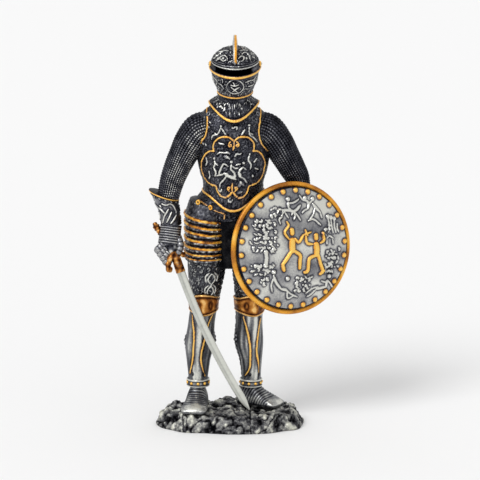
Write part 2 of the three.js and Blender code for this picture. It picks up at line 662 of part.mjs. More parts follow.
const ROCKS = [
  [[-2.6, -1.0], [-1.4, 1.0], [1.0, 1.2], [2.6, -1.0]],
];
const flipped = (limbs) => limbs.map((run) => run.map(([x, y]) => [-x, y]));

function shieldReliefs() {
  return [
    ...reliefFigure(STRIKER, [-1.3, -0.4], 0.7),
    ...reliefFigure(PARRIER, [6.2, -2.2], 0.7),
    ...reliefFigure(RIDER, [-1.2, 10.4], 0.5),
    ...reliefFigure(RIDER, [6.4, 9.6], 0.5, 0.9, -0.6),
    ...reliefFigure(SITTER, [-4.6, -10.2], 0.55),
    ...reliefFigure(flipped(SITTER), [7.8, -11.4], 0.5, 0.85),
    ...reliefFigure(TREE, [-9.0, 0.2], 0.6),
    ...reliefFigure(ROCKS, [-8.8, 7.4], 0.7),
    ...reliefFigure(ROCKS, [1.8, -9.2], 0.7, 0.8),
  ];
}

// The bar that the fist holds and the strap over the forearm, both behind the plate.
function shieldHandles(toShield, grow = 0) {
  const inShield = (x, y, z) => at(x, y, z).applyMatrix4(toShield);
  const foot = (x, y) => at(x, y, rise(hypot(x, y)) - SHIELD_PLATE * 0.6);
  const fist = inShield(14.75, -3.4, 47.4);
  const reach = 4.2;
  const grip = [foot(fist.x - reach, fist.y), at(fist.x - reach, fist.y, fist.z + 1.2),
    at(fist.x - reach + 1.2, fist.y, fist.z), at(fist.x + reach - 1.2, fist.y, fist.z),
    at(fist.x + reach, fist.y, fist.z + 1.2), foot(fist.x + reach, fist.y)];
  const arm = inShield(17.2, 0.1, 57.2);
  const strap = Array.from({ length: 5 }, (_, k) => {
    const a = mix(0, PI, k / 4);
    return at(arm.x + 4.4 * cos(a), arm.y, arm.z - 4.2 * sin(a));
  });
  strap.unshift(foot(strap[0].x, arm.y));
  strap.push(foot(strap.at(-1).x, arm.y));
  return [bar(grip, 0.5 + grow, 4), bar(strap, 0.5 + grow, 4)];
}

function shieldFrame() {
  const frame = new THREE.Object3D();
  frame.rotation.set(PI / 2 - SHIELD_LEAN, 0, 0);
  const turned = new THREE.Object3D();
  turned.rotation.set(0, 0, SHIELD_TURN);
  turned.position.copy(SHIELD_CENTRE);
  turned.add(frame);
  turned.updateMatrixWorld(true);
  return frame.matrixWorld.clone();
}

// Ground

function groundEdge(azimuth) {
  const wobble = 0.35 * sin(3 * azimuth + 1) + 0.3 * sin(7 * azimuth) + 0.2 * sin(11 * azimuth + 2);
  const side = GROUND_HALF_WIDTH - 0.5;
  const depth = GROUND_HALF_DEPTH - 0.4;
  const edge = { side, front: depth, back: depth, y: GROUND_CENTRE_Y, z: 0, round: 2.35 };
  return onLevel(edge, azimuth, wobble);
}

// Stones and hummocks on the ground: [x, y, width, height].
const LUMPS = [
  [-1.6, 5.2, 2.6, 1.6], [-14.6, 1.6, 1.5, 1.6], [3.4, -11.0, 1.8, 0.5], [15.5, -1.5, 2.4, 0.7],
];

function groundTop(x, y) {
  const rolling = 0.28 * sin(0.55 * x + 1) + 0.25 * sin(0.8 * y + 0.4 * x) + 0.16 * sin(1.7 * x - 1.1 * y);
  const raised = LUMPS.reduce((sum, [lx, ly, wide, tall]) => {
    return sum + tall * Math.exp(-((x - lx) ** 2 + (y - ly) ** 2) / wide ** 2);
  }, 0);
  return GROUND_HEIGHT + rolling + raised;
}

function ground() {
  const sides = 32;
  const shares = [1, 0.985, 0.95, 0.88, 0.74, 0.56, 0.36, 0.18];
  const heights = [0.0, 0.34, 0.7, 0.9, 1, 1, 1, 1];
  const rings = shares.map((share, i) =>
    Array.from({ length: sides }, (_, k) => {
      const p = groundEdge((k / sides) * TAU);
      p.x *= share;
      p.y = GROUND_CENTRE_Y + (p.y - GROUND_CENTRE_Y) * share;
      p.z = heights[i] * groundTop(p.x, p.y);
      return p;
    }),
  );
  const made = solid(skin(rings));
  const soles = [RIGHT_BOOT, LEFT_BOOT].map((place) => solid(boot(...place, SOLE_GAP)));
  return soles.reduce((left, sole) => left.subtract(sole), made);
}

// The whole figurine

const finish = (name, color, roughness) =>
  new THREE.MeshStandardMaterial({ name, color, roughness, metalness: 0.85 });
const PEWTER = finish("blackened pewter", 0x4a4a52, 0.45);
const BRIGHT = finish("polished pewter", 0xa9abac, 0.35);
const STEEL = finish("blade", 0xc4c6bf, 0.35);
const STONE = finish("ground", 0x6f6d66, 0.6);

const shieldPlace = shieldFrame();
const toShield = shieldPlace.clone().invert();
const shieldSolid = join([
  shieldPlate(),
  ...studs(),
  ...shieldReliefs(),
  ...shieldHandles(toShield),
]);
const shield = meshOf("round_shield", outermost(shieldSolid), BRIGHT);
shield.applyMatrix4(shieldPlace);

const handleRoom = shieldHandles(toShield, HAND_GAP).map((shape) => shape.applyMatrix4(shieldPlace));
const knightSolid = [head(), trunk(), legs(), rightArm(), leftArm()]
  .reduce((sum, part) => sum.add(part))
  .subtract(join([...hilt(HAND_GAP), ...handleRoom]));

const figurine = new THREE.Group();
figurine.name = "knight_figurine";
figurine.add(
  meshOf("knight", outermost(knightSolid), PEWTER),
  meshOf("sword", sword(), STEEL),
  shield,
  meshOf("rocky_ground", ground(), STONE),
);

export default figurine;
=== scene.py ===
"""A pewter figurine of a knight in embossed parade armour, dressed for its portrait.

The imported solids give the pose, the sizes and the frame. Every casting is built again here as
fine closed skins with the embossing, the mail, the rock and the painted trims on them.
Sizes in the classes are millimetres in the frame of the solids: the knight faces -Y.
"""

import logging
import math
from collections.abc import Iterable, Sequence
from dataclasses import dataclass, field, fields, replace
from enum import Enum

import bmesh
import bpy
import numpy as np
from mathutils import Matrix, Vector


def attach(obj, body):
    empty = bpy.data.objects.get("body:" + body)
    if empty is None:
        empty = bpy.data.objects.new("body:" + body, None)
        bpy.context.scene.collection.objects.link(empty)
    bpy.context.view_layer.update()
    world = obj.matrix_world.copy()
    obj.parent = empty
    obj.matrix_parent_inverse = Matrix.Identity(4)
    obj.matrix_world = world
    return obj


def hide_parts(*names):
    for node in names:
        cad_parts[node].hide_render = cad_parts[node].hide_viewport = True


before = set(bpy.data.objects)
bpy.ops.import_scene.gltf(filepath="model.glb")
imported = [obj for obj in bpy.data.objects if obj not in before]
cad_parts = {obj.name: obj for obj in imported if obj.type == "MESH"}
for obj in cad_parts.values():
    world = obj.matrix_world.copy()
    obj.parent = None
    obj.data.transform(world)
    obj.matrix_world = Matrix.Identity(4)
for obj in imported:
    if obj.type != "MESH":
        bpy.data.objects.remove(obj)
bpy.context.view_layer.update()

log = logging.getLogger("knight")

Array = np.ndarray
Point2 = tuple[float, float]
Point3 = tuple[float, float, float]
Colour = tuple[float, float, float]

MM = 0.001
TAU = 2 * math.pi
CHANNELS = ("relief", "gilt", "bronze", "soot")
FLAT_TONE = 0.34
WASH_REACH = 0.35
BEYOND_ANY_CHART = 40.0
CRUMB_POINTS = 60


class Side(Enum):
    """Which side of the knight a limb is on, as the sign of its X."""

    RIGHT = -1
    LEFT = 1


class Paint(Enum):
    """What is brushed over the bare pewter of a raised line."""

    NONE = "relief"
    GOLD = "gilt"
    BRONZE = "bronze"
    BLACK = "soot"


# Curves and noise


def monotone(knots: Array, values: Array, wanted: Array) -> Array:
    """Interpolates smoothly, without swinging past the values between two knots.

    Args:
        knots: Rising parameters of the values.
        values: One value for each knot.
        wanted: Parameters to read at.

    Returns:
        The values at the wanted parameters.
    """
    step = np.diff(knots)
    slope = np.diff(values) / step
    tangent = np.zeros(len(values))
    tangent[0], tangent[-1] = slope[0], slope[-1]
    same_way = slope[:-1] * slope[1:] > 0
    near, far = 2 * step[1:] + step[:-1], step[1:] + 2 * step[:-1]
    safe = np.where(same_way, slope[:-1], 1.0), np.where(same_way, slope[1:], 1.0)
    tangent[1:-1] = np.where(same_way, (near + far) / (near / safe[0] + far / safe[1]), 0.0)
    i = np.clip(np.searchsorted(knots, wanted, side="right") - 1, 0, len(step) - 1)
    t = (wanted - knots[i]) / step[i]
    rest = 1 - t
    return (
        (1 + 2 * t) * rest**2 * values[i]
        + t * rest**2 * step[i] * tangent[i]
        + t**2 * (3 - 2 * t) * values[i + 1]
        - t**2 * rest * step[i] * tangent[i + 1]
    )


def chord(points: Array) -> Array:
    """The length along a run of points, from 0 at the first."""
    return np.concatenate([[0.0], np.cumsum(np.linalg.norm(np.diff(points, axis=0), axis=1))])


def spline(points: Sequence[Sequence[float]], spacing: float, closed: bool = False) -> Array:
    """Points evenly spaced along a smooth curve through the given ones.

    Args:
        points: Two or more points, in any number of dimensions.
        spacing: Distance between the new points.
        closed: Whether the curve runs back to its start.

    Returns:
        The new points, one in each row.
    """
    given = np.asarray(points, float)
    if closed:
        given = np.vstack([given, given[:1]])
    if len(given) == 2 and not closed:
        count = max(2, int(np.linalg.norm(given[1] - given[0]) / spacing) + 1)
        return given[0] + np.linspace(0, 1, count)[:, None] * (given[1] - given[0])
    before, after = 2 * given[0] - given[1], 2 * given[-1] - given[-2]
    if closed:
        before, after = given[-2], given[1]
    all_points = np.vstack([before, given, after])
    fine = []
    for a, b, c, d in zip(all_points, all_points[1:], all_points[2:], all_points[3:]):
        t = np.linspace(0, 1, 12, endpoint=False)[:, None]
        fine.append(
            0.5 * (2 * b + (c - a) * t + (2 * a - 5 * b + 4 * c - d) * t**2 + (3 * b - 3 * c + d - a) * t**3)
        )
    dense = np.vstack([*fine, given[-1:]])
    along = chord(dense)
    count = max(3, int(along[-1] / spacing) + 1)
    wanted = np.linspace(0, along[-1], count, endpoint=not closed)
    return np.stack([np.interp(wanted, along, column) for column in dense.T], -1)


def waves(points: Array, size: float, seed: int, count: int = 20) -> Array:
    """Smooth noise of about unit spread, made of plane waves.

    Args:
        points: Points in the last axis, in mm.
        size: The typical distance from one crest to the next.
        seed: Picks the waves.
        count: How many waves are summed.

    Returns:
        The noise at each point.
    """
    rng = np.random.default_rng(seed)
    total = np.zeros(points.shape[:-1])
    for _ in range(count):
        way = rng.normal(size=points.shape[-1])
        way *= TAU / (size * rng.uniform(0.7, 1.5)) / np.linalg.norm(way)
        total += np.sin(points @ way + rng.uniform(0, TAU))
    return total * math.sqrt(2 / count)


def smoothstep(low: float, high: float, value: Array) -> Array:
    """Rises from 0 at low to 1 at high, with no corner."""
    t = np.clip((value - low) / (high - low), 0, 1)
    return t * t * (3 - 2 * t)


# Carved lines


@dataclass(frozen=True)
class Stroke:
    """A raised line on a chart of a surface.

    The path is in chart mm, `width` is half its width, `ends` scales the width at both ends,
    and `paint` says what is brushed on it.
    """

    path: Sequence[Point2]
    width: float
    height: float
    paint: Paint = Paint.NONE
    ends: float = 0.6
    tone: float = 1.0
    smooth: bool = True

    def line(self) -> tuple[Array, Array]:
        """Lays points along the stroke.

        Returns:
            The points, and the half width at each.
        """
        if len(self.path) == 1:
            return np.array([self.path[0], self.path[0]], float), np.full(2, self.width)
        points = spline(self.path, 0.35) if self.smooth else np.asarray(self.path, float)
        share = np.linspace(0, 1, len(points))
        full = np.clip(np.minimum(share, 1 - share) * 5, 0, 1)
        return points, self.width * (self.ends + (1 - self.ends) * full)


@dataclass
class Carving:
    """Raised lines that are laid over one chart, with an optional wide haze of wash round them."""

    strokes: list[Stroke] = field(default_factory=list)
    haze: float = 0.0

    def add(self, *paths: Sequence[Point2], width: float, height: float, **rest: object) -> "Carving":
        """Adds one stroke for each path, all alike."""
        self.strokes += [Stroke(path, width, height, **rest) for path in paths]
        return self

    def mirrored(self, about: float = 0.0) -> "Carving":
        """The same lines and their mirror images about an upright line.

        Args:
            about: Where the upright line is.

        Returns:
            A new carving.
        """
        flipped = [
            replace(s, path=[(2 * about - u, v) for u, v in s.path]) for s in self.strokes
        ]
        return Carving(self.strokes + flipped, self.haze)

    def sample(
        self, places: Array, onto: "Skin | None" = None
    ) -> tuple[Array, Array, Array, dict[Paint, Array]]:
        """Reads the carving at places.

        Args:
            places: Coordinates in the last axis: two on a chart, or three in space.
            onto: The skin that upright (x, z) strokes are first laid on, for places in space.

        Returns:
            The height, the tone of the raised lines, how much black wash lies round them, and
            the amount of each paint.
        """
        count = len(places)
        height, tone, wash = np.zeros(count), np.zeros(count), np.zeros(count)
        clear = np.full(count, np.inf)
        paint = {p: np.zeros(count) for p in Paint if p is not Paint.NONE}
        for stroke in self.strokes:
            points, radius = stroke.line()
            if onto is not None:
                points = onto.under(points, places)
            margin = radius.max() + 2 * max(WASH_REACH, self.haze)
            low, high = points.min(0) - margin, points.max(0) + margin
            near = np.flatnonzero(((places > low) & (places < high)).all(1))
            if not near.size:
                continue
            here = places[near][:, None]
            start, run = points[:-1], np.diff(points, axis=0)
            length = np.maximum((run**2).sum(1), 1e-12)
            t = np.clip(((here - start) * run).sum(-1) / length, 0, 1)
            away = np.linalg.norm(here - start - t[..., None] * run, axis=-1)
            wide = radius[:-1] + np.diff(radius) * t
            pick = (away - wide).argmin(1)
            rows = np.arange(near.size)
            away, wide = away[rows, pick], wide[rows, pick]
            clear[near] = np.minimum(clear[near], away - wide)
            share = np.sqrt(np.clip(1 - (away / wide) ** 2, 0, 1))
            bump = stroke.height * share
            over = bump > height[near]
            chosen = near[over]
            height[chosen] = bump[over]
            # A line is brightest on its crest and darker on its flanks: rubbed bright on bare metal, and
            # painted highlight and shade where gold or bronze goes on it.
            tone[chosen] = stroke.tone * (0.5 + 0.5 * share[over])
            for kind, amount in paint.items():
                amount[chosen] = 1.0 if stroke.paint is kind else 0.0
        clear = np.maximum(clear, 0)
        wash = np.exp(-((clear / WASH_REACH) ** 2))
        if self.haze:
            wash = np.maximum(wash, 0.55 * np.exp(-((clear / self.haze) ** 2)))
        return height, tone, wash, paint


def spiral(centre: Point2, size: float, start: float, turns: float) -> list[Point2]:
    """A curl that winds in from its rim; negative turns wind it clockwise.

    Args:
        centre: The middle of the curl.
        size: How far out it begins.
        start: The angle that it begins at, in radians.
        turns: How many times it goes round.

    Returns:
        Its points.
    """
    made = []
    for t in np.linspace(0, 1, max(6, int(abs(turns) * 12))):
        reach = size * (1 - 0.8 * t)
        angle = start + turns * TAU * t
        made.append((centre[0] + reach * math.cos(angle), centre[1] + reach * math.sin(angle)))
    return made


def hoop(height: float) -> list[Point2]:
    """A level path that runs right round any form."""
    return [(-BEYOND_ANY_CHART, height), (BEYOND_ANY_CHART, height)]


def curls(
    seed: int, across: Point2, up: Point2, pitch: float, width: float = 0.17, height: float = 0.2
) -> list[Stroke]:
    """Small chased scrolls, leaves and beads, strewn over a rectangle of a chart.

    Args:
        seed: Picks the strokes.
        across: Lowest and highest first coordinate.
        up: Lowest and highest second coordinate.
        pitch: Mean distance between strokes.
        width: Half width of a stroke.
        height: How far it stands out.

    Returns:
        The strokes.
    """
    rng = np.random.default_rng(seed)
    made = []
    for row, v in enumerate(np.arange(up[0], up[1], pitch * 0.87)):
        for u in np.arange(across[0] + (row % 2) * pitch / 2, across[1], pitch):
            centre = (u + rng.uniform(-0.25, 0.25) * pitch, v + rng.uniform(-0.25, 0.25) * pitch)
            turn, kind = rng.uniform(0, TAU), rng.uniform()
            reach = pitch * rng.uniform(0.34, 0.52)
            tone = rng.uniform(0.55, 1.0)
            if kind < 0.5:
                path = spiral(centre, reach, turn, rng.choice([-1, 1]) * rng.uniform(0.6, 1.1))
            elif kind < 0.85:
                c, s = math.cos(turn) * reach, math.sin(turn) * reach
                bow = rng.uniform(-0.6, 0.6)
                path = [
                    (centre[0] - c, centre[1] - s),
                    (centre[0] - s * bow, centre[1] + c * bow),
                    (centre[0] + c, centre[1] + s),
                ]
            else:
                path = [centre]
            made.append(Stroke(path, width * rng.uniform(0.8, 1.25), height, ends=0.4, tone=tone))
    return made


# Closed skins


@dataclass
class Skin:
    """A closed surface over a grid of points, with what stands out of it and what is painted on it.

    `grid` is rows by columns of points. Columns always run round; rows run round too in a `ring`,
    and otherwise end in a fan at each end.
    """

    grid: Array
    ring: bool = False
    height: Array = field(init=False)
    coats: dict[str, Array] = field(init=False)

    def __post_init__(self) -> None:
        """Starts the skin plain."""
        shape = self.grid.shape[:2]
        self.height = np.zeros(shape)
        self.coats = {name: np.zeros(shape) for name in CHANNELS}
        self.coats["relief"] += FLAT_TONE

    def normals(self) -> Array:
        """The outward direction at each point.

        Returns:
            A unit vector for each grid point.
        """
        around = np.roll(self.grid, -1, 1) - np.roll(self.grid, 1, 1)
        if self.ring:
            along = np.roll(self.grid, -1, 0) - np.roll(self.grid, 1, 0)
        else:
            along = np.gradient(self.grid, axis=0)
        out = np.cross(around, along)
        return out / np.maximum(np.linalg.norm(out, axis=-1, keepdims=True), 1e-9)

    def carve(self, carving: Carving, u: Array, v: Array, where: Array | None = None) -> "Skin":
        """Raises a carving from the skin, by a chart of it.

        Args:
            carving: The lines.
            u: First chart coordinate of each grid point.
            v: Second chart coordinate of each grid point.
            where: The grid points that it may reach.

        Returns:
            The same skin.
        """
        inside = np.ones(u.shape, bool) if where is None else where
        return self.emboss(inside, *carving.sample(np.stack([u[inside], v[inside]], -1)))

    def engrave(self, carving: Carving, where: Array) -> "Skin":
        """Raises a carving that is drawn as seen from the front or the back, in x and z.

        Args:
            carving: The lines.
            where: The grid points that it may reach, all on one side of the form.

        Returns:
            The same skin.
        """
        return self.emboss(where, *carving.sample(self.grid[where], self))

    def under(self, path: Array, places: Array) -> Array:
        """The places that lie under the (x, z) points of a path, seen along Y.

        Args:
            path: Points in x and z.
            places: Points of the skin.

        Returns:
            A point on the skin for each point of the path, smoothed along it.
        """
        seen = places[:, [0, 2]]
        laid = np.array([places[((seen - p) ** 2).sum(1).argmin()] for p in path])
        for _ in range(2):
            laid[1:-1] = (laid[:-2] + 2 * laid[1:-1] + laid[2:]) / 4
        return laid

    def emboss(
        self, inside: Array, height: Array, tone: Array, wash: Array, paint: dict[Paint, Array]
    ) -> "Skin":
        """Lays sampled relief, wash and paint on part of the skin.

        Args:
            inside: The grid points.
            height: How far each is raised.
            tone: How bright each raised one is.
            wash: How much black wash lies on each.
            paint: The amount of each paint on them.

        Returns:
            The same skin.
        """
        raised = height > 0
        self.height[inside] += height
        bare = self.coats["relief"][inside]
        self.coats["relief"][inside] = np.where(raised, tone, bare * (1 - 0.9 * wash))
        for kind, amount in paint.items():
            coat = self.coats[kind.value]
            coat[inside] = np.where(raised, amount, coat[inside])
        return self

    def paint(self, kind: Paint, where: Array, amount: float | Array = 1.0) -> "Skin":
        """Brushes a paint over part of the skin and off the other paints there.

        Args:
            kind: The paint.
            where: The grid points.
            amount: How thickly it is laid on.

        Returns:
            The same skin.
        """
        for name in CHANNELS[1:]:
            self.coats[name] = np.where(where, 0.0, self.coats[name])
        self.coats[kind.value] = np.where(where, amount, self.coats[kind.value])
        return self

    def shade(self, tone: Array, where: Array | None = None) -> "Skin":
        """Sets how bright the bare metal is: 0 in a recess, 1 on a rubbed edge, and painted light and shade
        where a form asks for it.

        Args:
            tone: The brightness at each grid point.
            where: The grid points that take it.

        Returns:
            The same skin.
        """
        inside = np.ones(tone.shape, bool) if where is None else where
        self.coats["relief"] = np.where(inside, tone, self.coats["relief"])
        return self

    def seat(self, x: float, z: float) -> tuple[Array, Array]:
        """The place on the front of the skin, before its relief, that carries a fitting.

        Args:
            x: Where the fitting is across.
            z: Where it is upwards.

        Returns:
            The place, and the outward direction there.
        """
        ways = self.normals()
        off = (self.grid[..., 0] - x) ** 2 + (self.grid[..., 2] - z) ** 2
        nearest = np.unravel_index(np.where(ways[..., 1] < 0, off, np.inf).argmin(), off.shape)
        return self.grid[nearest], ways[nearest]

    def lift(self, amount: Array | float) -> "Skin":
        """Moves the surface outwards."""
        self.height = self.height + amount
        return self

    def mesh(self, name: str) -> bpy.types.Mesh:
        """Makes the Blender mesh, in metres, with the coats as point attributes.

        Args:
            name: The mesh's name.

        Returns:
            The mesh.
        """
        rows, columns = self.grid.shape[:2]
        points = self.grid + self.normals() * self.height[..., None]
        flat = points.reshape(-1, 3)
        index = np.arange(rows * columns).reshape(rows, columns)
        low = index if self.ring else index[:-1]
        high = np.roll(index, -1, 0) if self.ring else index[1:]
        quads = np.stack([low, np.roll(low, -1, 1), np.roll(high, -1, 1), high], -1).reshape(-1, 4)
        faces: list[tuple[int, ...]] = [tuple(q) for q in quads.tolist()]
        coats = {k: a.ravel() for k, a in self.coats.items()}
        if not self.ring:
            flat = np.vstack([flat, points[0].mean(0), points[-1].mean(0)])
            ends = {k: [a[0].mean(), a[-1].mean()] for k, a in self.coats.items()}
            coats = {k: np.append(a, ends[k]) for k, a in coats.items()}
            first, last = index[0].tolist(), index[-1].tolist()
            foot, head = rows * columns, rows * columns + 1
            for k in range(columns):
                n = (k + 1) % columns
                faces.append((foot, first[n], first[k]))
                faces.append((head, last[k], last[n]))
        mesh = bpy.data.meshes.new(name)
        mesh.from_pydata((flat * MM).tolist(), [], faces)
        for key, values in coats.items():
            made = mesh.attributes.new(key, "FLOAT", "POINT")
            made.data.foreach_set("value", values.astype(np.float32))
        return mesh


@dataclass(frozen=True)
class Level:
    """One height of an upright form: an oval with a half width and two depths.

    `face` turns its front, `round` above 2 squares it, `ridge` is a sharp front edge, `dip` hangs
    the front lower, more pointed with a higher `vee`, and `tilt` drops the +X side.
    """

    z: float
    side: float
    front: float
    back: float
    x: float = 0.0
    y: float = 0.0
    face: float = 0.0
    round: float = 2.0
    ridge: float = 0.0
    dip: float = 0.0
    vee: float = 1.5
    tilt: float = 0.0

    def column(self, count: int = 1) -> dict[str, Array]:
        """Each of its fields, repeated down a column."""
        return {name: np.full((count, 1), float(getattr(self, name))) for name in LEVEL_FIELDS}


LEVEL_FIELDS = tuple(f.name for f in fields(Level))


@dataclass(frozen=True)
class Upright:
    """A standing form through levels from its foot to its top."""

    levels: tuple[Level, ...]

    def rows(self, spacing: float) -> dict[str, Array]:
        """Every field of the levels at evenly spaced rows.

        Args:
            spacing: Distance between rows, along the front.

        Returns:
            A column of values for each field.
        """
        table = np.array([[getattr(level, name) for name in LEVEL_FIELDS] for level in self.levels])
        along = chord(table[:, :3])
        wanted = np.linspace(0, along[-1], int(along[-1] / spacing) + 2)
        return {name: monotone(along, table[:, i], wanted)[:, None] for i, name in enumerate(LEVEL_FIELDS)}

    def at_heights(self, heights: Array) -> dict[str, Array]:
        """Every field of the levels at rows of the given heights.

        Args:
            heights: The heights, rising or falling.

        Returns:
            A column of values for each field.
        """
        table = np.array([[getattr(level, name) for name in LEVEL_FIELDS] for level in self.levels])
        return {
            name: monotone(table[:, 0], table[:, i], heights)[:, None] for i, name in enumerate(LEVEL_FIELDS)
        }

    def skin(self, spacing: float, columns: int, grow: float = 0.0) -> tuple[Skin, Array, Array]:
        """The surface of the form.

        Args:
            spacing: Distance between rows.
            columns: Points round each row.
            grow: How far the whole surface is moved out.

        Returns:
            The skin, and the level height and azimuth of each of its points.
        """
        azimuth = np.linspace(-math.pi, math.pi, columns, endpoint=False)[None]
        f = self.rows(spacing)
        return Skin(oval(f, azimuth, grow)), *np.broadcast_arrays(f["z"], azimuth)


def oval(f: dict[str, Array], azimuth: Array, grow: Array | float = 0.0) -> Array:
    """Points on levels. Azimuth 0 is the front and it turns towards +X.

    Args:
        f: The fields of the levels, as columns.
        azimuth: The azimuths, as a row or a grid.
        grow: How far out of the form the points are.

    Returns:
        The points, rows by columns.
    """
    s, c = np.sin(azimuth), np.cos(azimuth)
    power = 2 / f["round"]
    across = (f["side"] + grow) * np.sign(s) * np.abs(s) ** power
    depth = np.where(c > 0, f["front"], f["back"]) + grow
    front = np.maximum(c, 0)
    ahead = depth * np.sign(c) * np.abs(c) ** power + f["ridge"] * front**12
    turn_c, turn_s = np.cos(f["face"]), np.sin(f["face"])
    return np.stack(
        np.broadcast_arrays(
            f["x"] + across * turn_c + ahead * turn_s,
            f["y"] + across * turn_s - ahead * turn_c,
            f["z"] - f["dip"] * front ** f["vee"] - f["tilt"] * across,
        ),
        -1,
    )


def limb_skin(stations: Sequence[Sequence[float]], spacing: float, columns: int) -> tuple[Skin, Array, Array]:
    """A slanted round form through stations.

    Args:
        stations: Each x, y, z, half width and half depth.
        spacing: Distance between rows.
        columns: Points round each row.

    Returns:
        The skin, the distance along it and the angle round it at each point.
    """
    table = np.asarray(stations, float)
    along = chord(table[:, :3])
    wanted = np.linspace(0, along[-1], int(along[-1] / spacing) + 2)
    x, y, z, wide, deep = (monotone(along, column, wanted) for column in table.T)
    centres = np.stack([x, y, z], -1)
    tangent = np.gradient(centres, axis=0)
    tangent /= np.linalg.norm(tangent, axis=1, keepdims=True)
    front = np.array([0.0, -1.0, 0.0])
    ahead = front - tangent * (tangent @ front)[:, None]
    ahead /= np.linalg.norm(ahead, axis=1, keepdims=True)
    across = np.cross(tangent, ahead)
    angle = np.linspace(-math.pi, math.pi, columns, endpoint=False)
    grid = (
        centres[:, None]
        + across[:, None] * (wide[:, None] * np.sin(angle))[..., None]
        + ahead[:, None] * (deep[:, None] * np.cos(angle))[..., None]
    )
    return outward(Skin(grid)), *np.broadcast_arrays(wanted[:, None], angle[None])


def bar_skin(
    points: Sequence[Sequence[float]],
    radii: Sequence[float] | float,
    spacing: float = 0.2,
    columns: int = 24,
    blunt: bool = False,
) -> tuple[Skin, Array, Array]:
    """A round bar along a smooth curve, with rounded ends unless it is blunt.

    Args:
        points: The points that it runs through.
        radii: Its radius, or one at each point.
        spacing: Distance between rows.
        columns: Points round each row.
        blunt: Whether its ends are cut off square.

    Returns:
        The skin, the distance along it and the angle round it at each point.
    """
    given = np.asarray(points, float)
    path = spline(given, spacing)
    along = chord(path)
    knots = np.array([along[np.linalg.norm(path - p, axis=1).argmin()] for p in given])
    sizes = np.full(len(given), radii) if isinstance(radii, (int, float)) else np.asarray(radii, float)
    radius = np.interp(along, knots, sizes)
    if not blunt:
        ends = np.minimum(along, along[-1] - along)
        radius = radius * np.sqrt(np.clip(1 - (1 - np.clip(ends / radius, 0, 1)) ** 2, 0.02, 1))
    tangent = np.gradient(path, axis=0)
    tangent /= np.linalg.norm(tangent, axis=1, keepdims=True)
    side = np.cross(tangent[0], [0.3, 0.5, 0.8])
    sides = []
    for way in tangent:
        side = side - way * (side @ way)
        side = side / np.linalg.norm(side)
        sides.append(side)
    u = np.array(sides)
    v = np.cross(tangent, u)
    angle = np.linspace(-math.pi, math.pi, columns, endpoint=False)
    grid = (
        path[:, None]
        + u[:, None] * (radius[:, None] * np.cos(angle))[..., None]
        + v[:, None] * (radius[:, None] * np.sin(angle))[..., None]
    )
    return outward(Skin(grid)), *np.broadcast_arrays(along[:, None], angle[None])


def outward(skin: Skin) -> Skin:
    """Turns a skin's grid round if its normals point inwards.

    Args:
        skin: The skin.

    Returns:
        The same skin.
    """
    centres = skin.grid.mean(1, keepdims=True)
    if ((skin.grid - centres) * skin.normals()).sum() < 0:
        skin.grid = skin.grid[:, ::-1]
    return skin


def dome(
    centre: Array, out: Array, radius: float, height: float, paint: Paint = Paint.NONE, tone: float = 0.9
) -> Skin:
    """A small domed rivet or boss.

    Args:
        centre: The middle of its foot.
        out: The direction it stands out in.
        radius: Its radius at the foot.
        height: How far it stands out.
        paint: What is brushed on it.
        tone: How bright it is where it is bare.

    Returns:
        Its skin.
    """
    out = np.asarray(out, float) / np.linalg.norm(out)
    u = np.cross(out, [0.1, 0.2, 0.97] if abs(out[2]) < 0.9 else [1.0, 0.0, 0.0])
    u /= np.linalg.norm(u)
    v = np.cross(out, u)
    polar = np.linspace(0, 0.96, 8) * math.pi / 2
    angle = np.linspace(0, TAU, 16, endpoint=False)
    rise = np.concatenate([[-0.6 * height], height * np.sin(polar)])
    reach = radius * np.concatenate([[1.0], np.cos(polar)])
    grid = (
        np.asarray(centre, float)
        + out * rise[:, None, None]
        + reach[:, None, None] * (u * np.cos(angle)[:, None] + v * np.sin(angle)[:, None])
    )
    skin = outward(Skin(grid))
    skin.shade(np.full(skin.height.shape, tone))
    if paint is not Paint.NONE:
        skin.paint(paint, np.ones(skin.height.shape, bool))
    return skin


def buckle(centre: Array, out: Array, radius: float, paint: Paint, tone: float = 0.8) -> list[Skin]:
    """A round buckle: a raised ring over a sunk dark middle.

    Args:
        centre: The middle of its foot.
        out: The direction it stands out in.
        radius: Its outer radius.
        paint: What is brushed on the ring.
        tone: How bright the ring is.

    Returns:
        Its skins.
    """
    out = np.asarray(out, float) / np.linalg.norm(out)
    u = np.cross(out, [0.1, 0.2, 0.97])
    u /= np.linalg.norm(u)
    v = np.cross(out, u)
    tube = radius * 0.33
    above = tube * 0.5
    ring = np.linspace(0, TAU, 28, endpoint=False)[:, None, None]
    round_tube = np.linspace(0, TAU, 12, endpoint=False)[None, :, None]
    way = u * np.cos(ring) + v * np.sin(ring)
    centre_line = centre + out * above + way * (radius - tube)
    skin = Skin(centre_line + tube * (way * np.cos(round_tube) + out * np.sin(round_tube)), ring=True)
    if ((skin.grid - centre_line) * skin.normals()).sum() < 0:
        skin.grid = skin.grid[:, ::-1]
    skin.shade(np.full(skin.height.shape, tone))
    if paint is not Paint.NONE:
        skin.paint(paint, np.ones(skin.height.shape, bool))
    return [dome(centre, out, radius * 0.8, 0.12, tone=0.04), skin]


# Finishes


